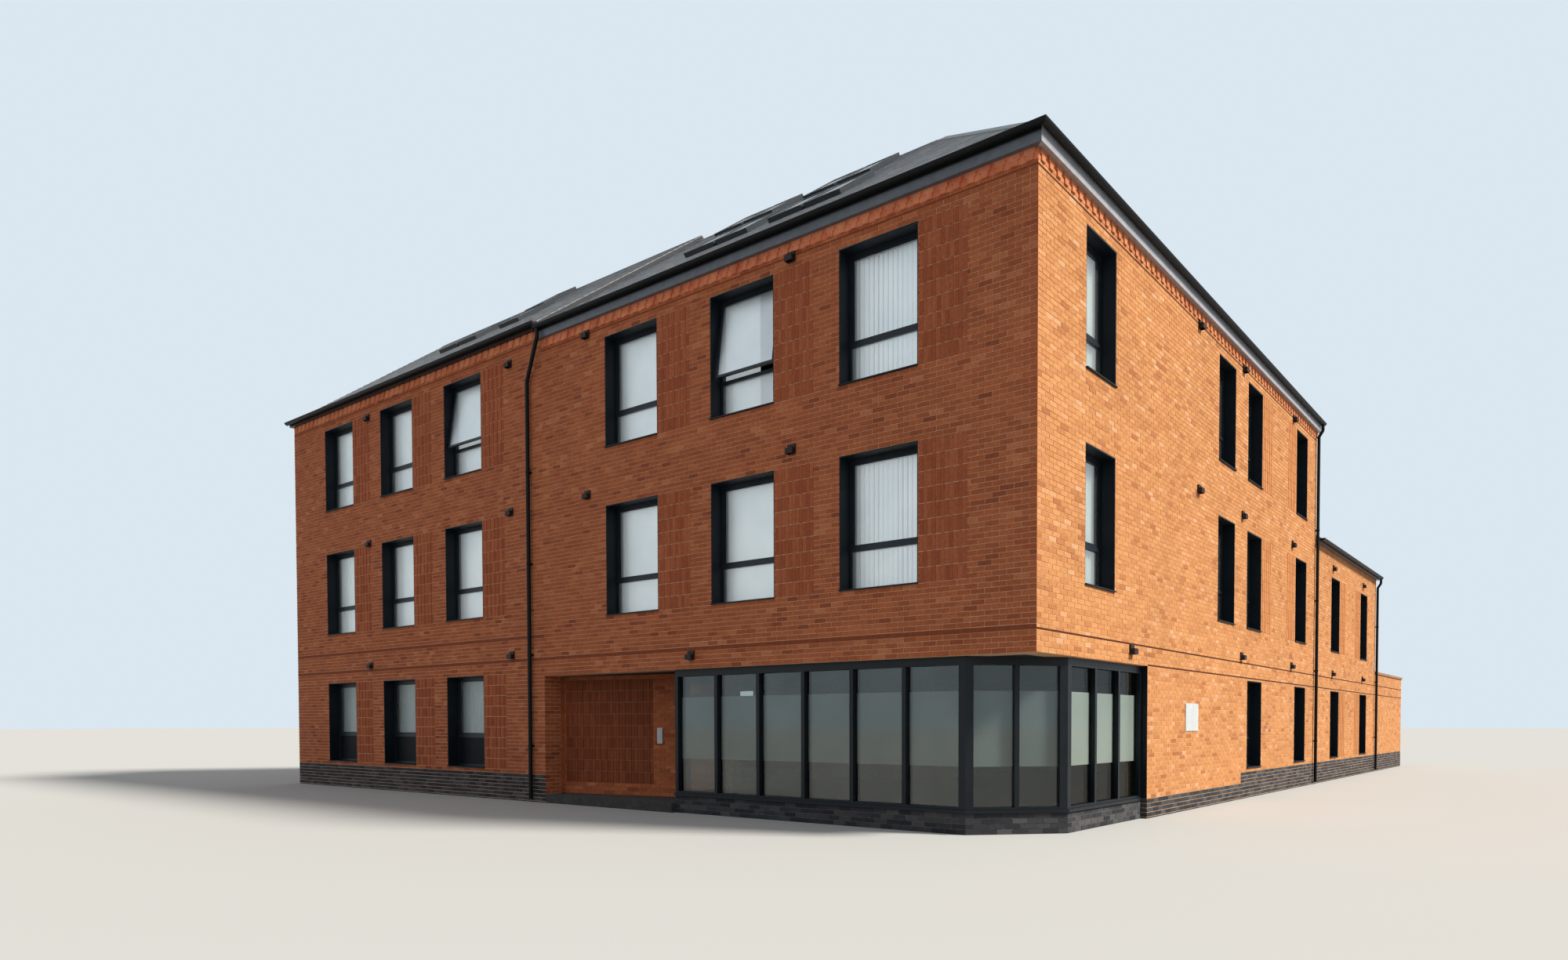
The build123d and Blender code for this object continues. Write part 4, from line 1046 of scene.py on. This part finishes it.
# Frosted film inside the shop panes
FILM_LOW = 0.95
FILM_HIGH = 2.02
FILM_BACK = -0.094
FILM_FRONT = -0.0915
FILM_EDGE = 0.004
MULLION = 0.07
CORNER_POST = 0.115
SHOP_BAYS = (6, 2, 3)
SHOP_POSTS = (MULLION, CORNER_POST, CORNER_POST, MULLION)
parts = []
for (run, length), bays, left_post, right_post in zip(shop_runs, SHOP_BAYS, SHOP_POSTS, SHOP_POSTS[1:]):
    bay = (length - left_post - right_post + MULLION) / bays
    rows = []
    for i in range(bays):
        start = left_post + i * bay
        end = start + bay - MULLION
        rows.append((start + FILM_EDGE, end - FILM_EDGE, FILM_BACK, FILM_FRONT, FILM_LOW, FILM_HIGH))
    parts.append(boxes(run, rows))
points, faces = join(parts)
piece("window_film", points, faces, FILM)

# Collars that hold the downpipes, each with a block behind it
PIPE_RADIUS = 0.038
PIPE_OUT = 0.068
PIPE_INSET = 0.075
COURT_PIPE_INSET = 0.3
PIPE_PAST_STEP = 0.4
COLLAR_INNER = PIPE_RADIUS - 0.001
COLLAR_OUTER = PIPE_RADIUS + 0.006
COLLAR_STEPS = 20
COLLAR_PITCH = 1.8
COLLAR_HIGH = 0.045
LOWEST_COLLAR = 1.1
BLOCK_HALF = 0.05
BLOCK_OUT = 0.034
BLOCK_INSET = 0.008
MAIN_PIPE_TOP = 8.0
WING_PIPE_TOP = 5.4
PIPES = [
    (FRONT, STEP_AT + PIPE_PAST_STEP, MAIN_PIPE_TOP), (SIDE, SIDE_LENGTH - PIPE_INSET, MAIN_PIPE_TOP),
    (SIDE, WING_END - PIPE_INSET, WING_PIPE_TOP), (REAR, STEP_AT + PIPE_PAST_STEP, MAIN_PIPE_TOP),
    (COURT, SIDE_LENGTH - COURT_PIPE_INSET, MAIN_PIPE_TOP), (WING_REAR, WING_END - PIPE_INSET, WING_PIPE_TOP),
]


def collar(face, centre, low, high):
    """A ring round a pipe's axis, which stands out from the wall."""
    profile = ((COLLAR_INNER, low), (COLLAR_OUTER, low), (COLLAR_OUTER, high), (COLLAR_INNER, high))
    points = []
    for i in range(COLLAR_STEPS + 1):
        angle = 2 * math.pi * i / COLLAR_STEPS
        for radius, z in profile:
            points.append((centre + radius * math.cos(angle), PIPE_OUT + radius * math.sin(angle), z))
    last = 4 * COLLAR_STEPS
    faces = [[0, 1, 2, 3], [last + 3, last + 2, last + 1, last]]
    for i in range(COLLAR_STEPS):
        for j in range(4):
            k = (j + 1) % 4
            faces.append([4 * i + j, 4 * i + 4 + j, 4 * i + 4 + k, 4 * i + k])
    if face.flip:
        faces = [one[::-1] for one in faces]
    return face.place(points), faces


collars = []
for face, centre, top in PIPES:
    z = LOWEST_COLLAR
    while z < top:
        high = z + COLLAR_HIGH
        near, far = centre - BLOCK_HALF, centre + BLOCK_HALF
        block = (near, far, 0.0, BLOCK_OUT, z + BLOCK_INSET, high - BLOCK_INSET)
        collars += [collar(face, centre, z, high), boxes(face, [block])]
        z += COLLAR_PITCH
points, faces = join(collars)
piece("pipe_collars", points, faces, PLASTIC)

# Floor: what is seen of it is paler than the light that it throws on the walls
SPAN = 400.0
floor_material, tree = new_material("studio_floor")
bounced = node(tree, "ShaderNodeBsdfDiffuse", Color=(0.22, 0.22, 0.22, 1))
shown = node(tree, "ShaderNodeBsdfDiffuse", Color=(0.5, 0.5, 0.49, 1))
two_shaders(tree, seen(tree), bounced, shown)
floor_mesh = bpy.data.meshes.new("floor")
corners = [(-SPAN, -SPAN, 0), (SPAN, -SPAN, 0), (SPAN, SPAN, 0), (-SPAN, SPAN, 0)]
floor_mesh.from_pydata(corners, [], [(0, 1, 2, 3)])
floor_mesh.materials.append(floor_material)
floor = bpy.data.objects.new("floor", floor_mesh)
floor.location.z = -0.001
bpy.context.scene.collection.objects.link(floor)

# Light: a soft sun on the side street and a pale sky
SUN_FROM = Vector((0.74, 0.28, 0.75))
sun = bpy.data.lights.new("key", "SUN")
sun.energy = 5.0
sun.angle = math.radians(12)
sun.color = (1.0, 0.95, 0.86)
key = bpy.data.objects.new("key", sun)
key.rotation_euler = SUN_FROM.to_track_quat("Z", "Y").to_euler()
bpy.context.scene.collection.objects.link(key)

world = bpy.data.worlds.new("studio")
bpy.context.scene.world = world
world.use_nodes = True
tree = world.node_tree
tree.nodes.clear()
soft = node(tree, "ShaderNodeBackground", Color=(0.93, 0.96, 1.0, 1), Strength=0.5)
pale = node(tree, "ShaderNodeBackground", Color=srgb(219, 231, 240), Strength=1.0)
two_shaders(tree, seen(tree), soft, pale, "ShaderNodeOutputWorld")

# Camera: across the street corner, as high as the eyes of someone who stands there
EYE = (5.99, -11.41, 1.55)
lens = bpy.data.cameras.new("camera")
lens.lens = 22.27
lens.sensor_width = 36
lens.shift_x = -0.07
lens.shift_y = 0.172
lens.clip_end = 2000
camera = bpy.data.objects.new("camera", lens)
camera.location = (CORNER.x + EYE[0], CORNER.y + EYE[1], EYE[2])
camera.rotation_euler = Euler((math.radians(88.5), 0, math.radians(36.04)), "XYZ")
bpy.context.scene.collection.objects.link(camera)
bpy.context.scene.camera = camera
bpy.context.scene.view_settings.view_transform = "Standard"
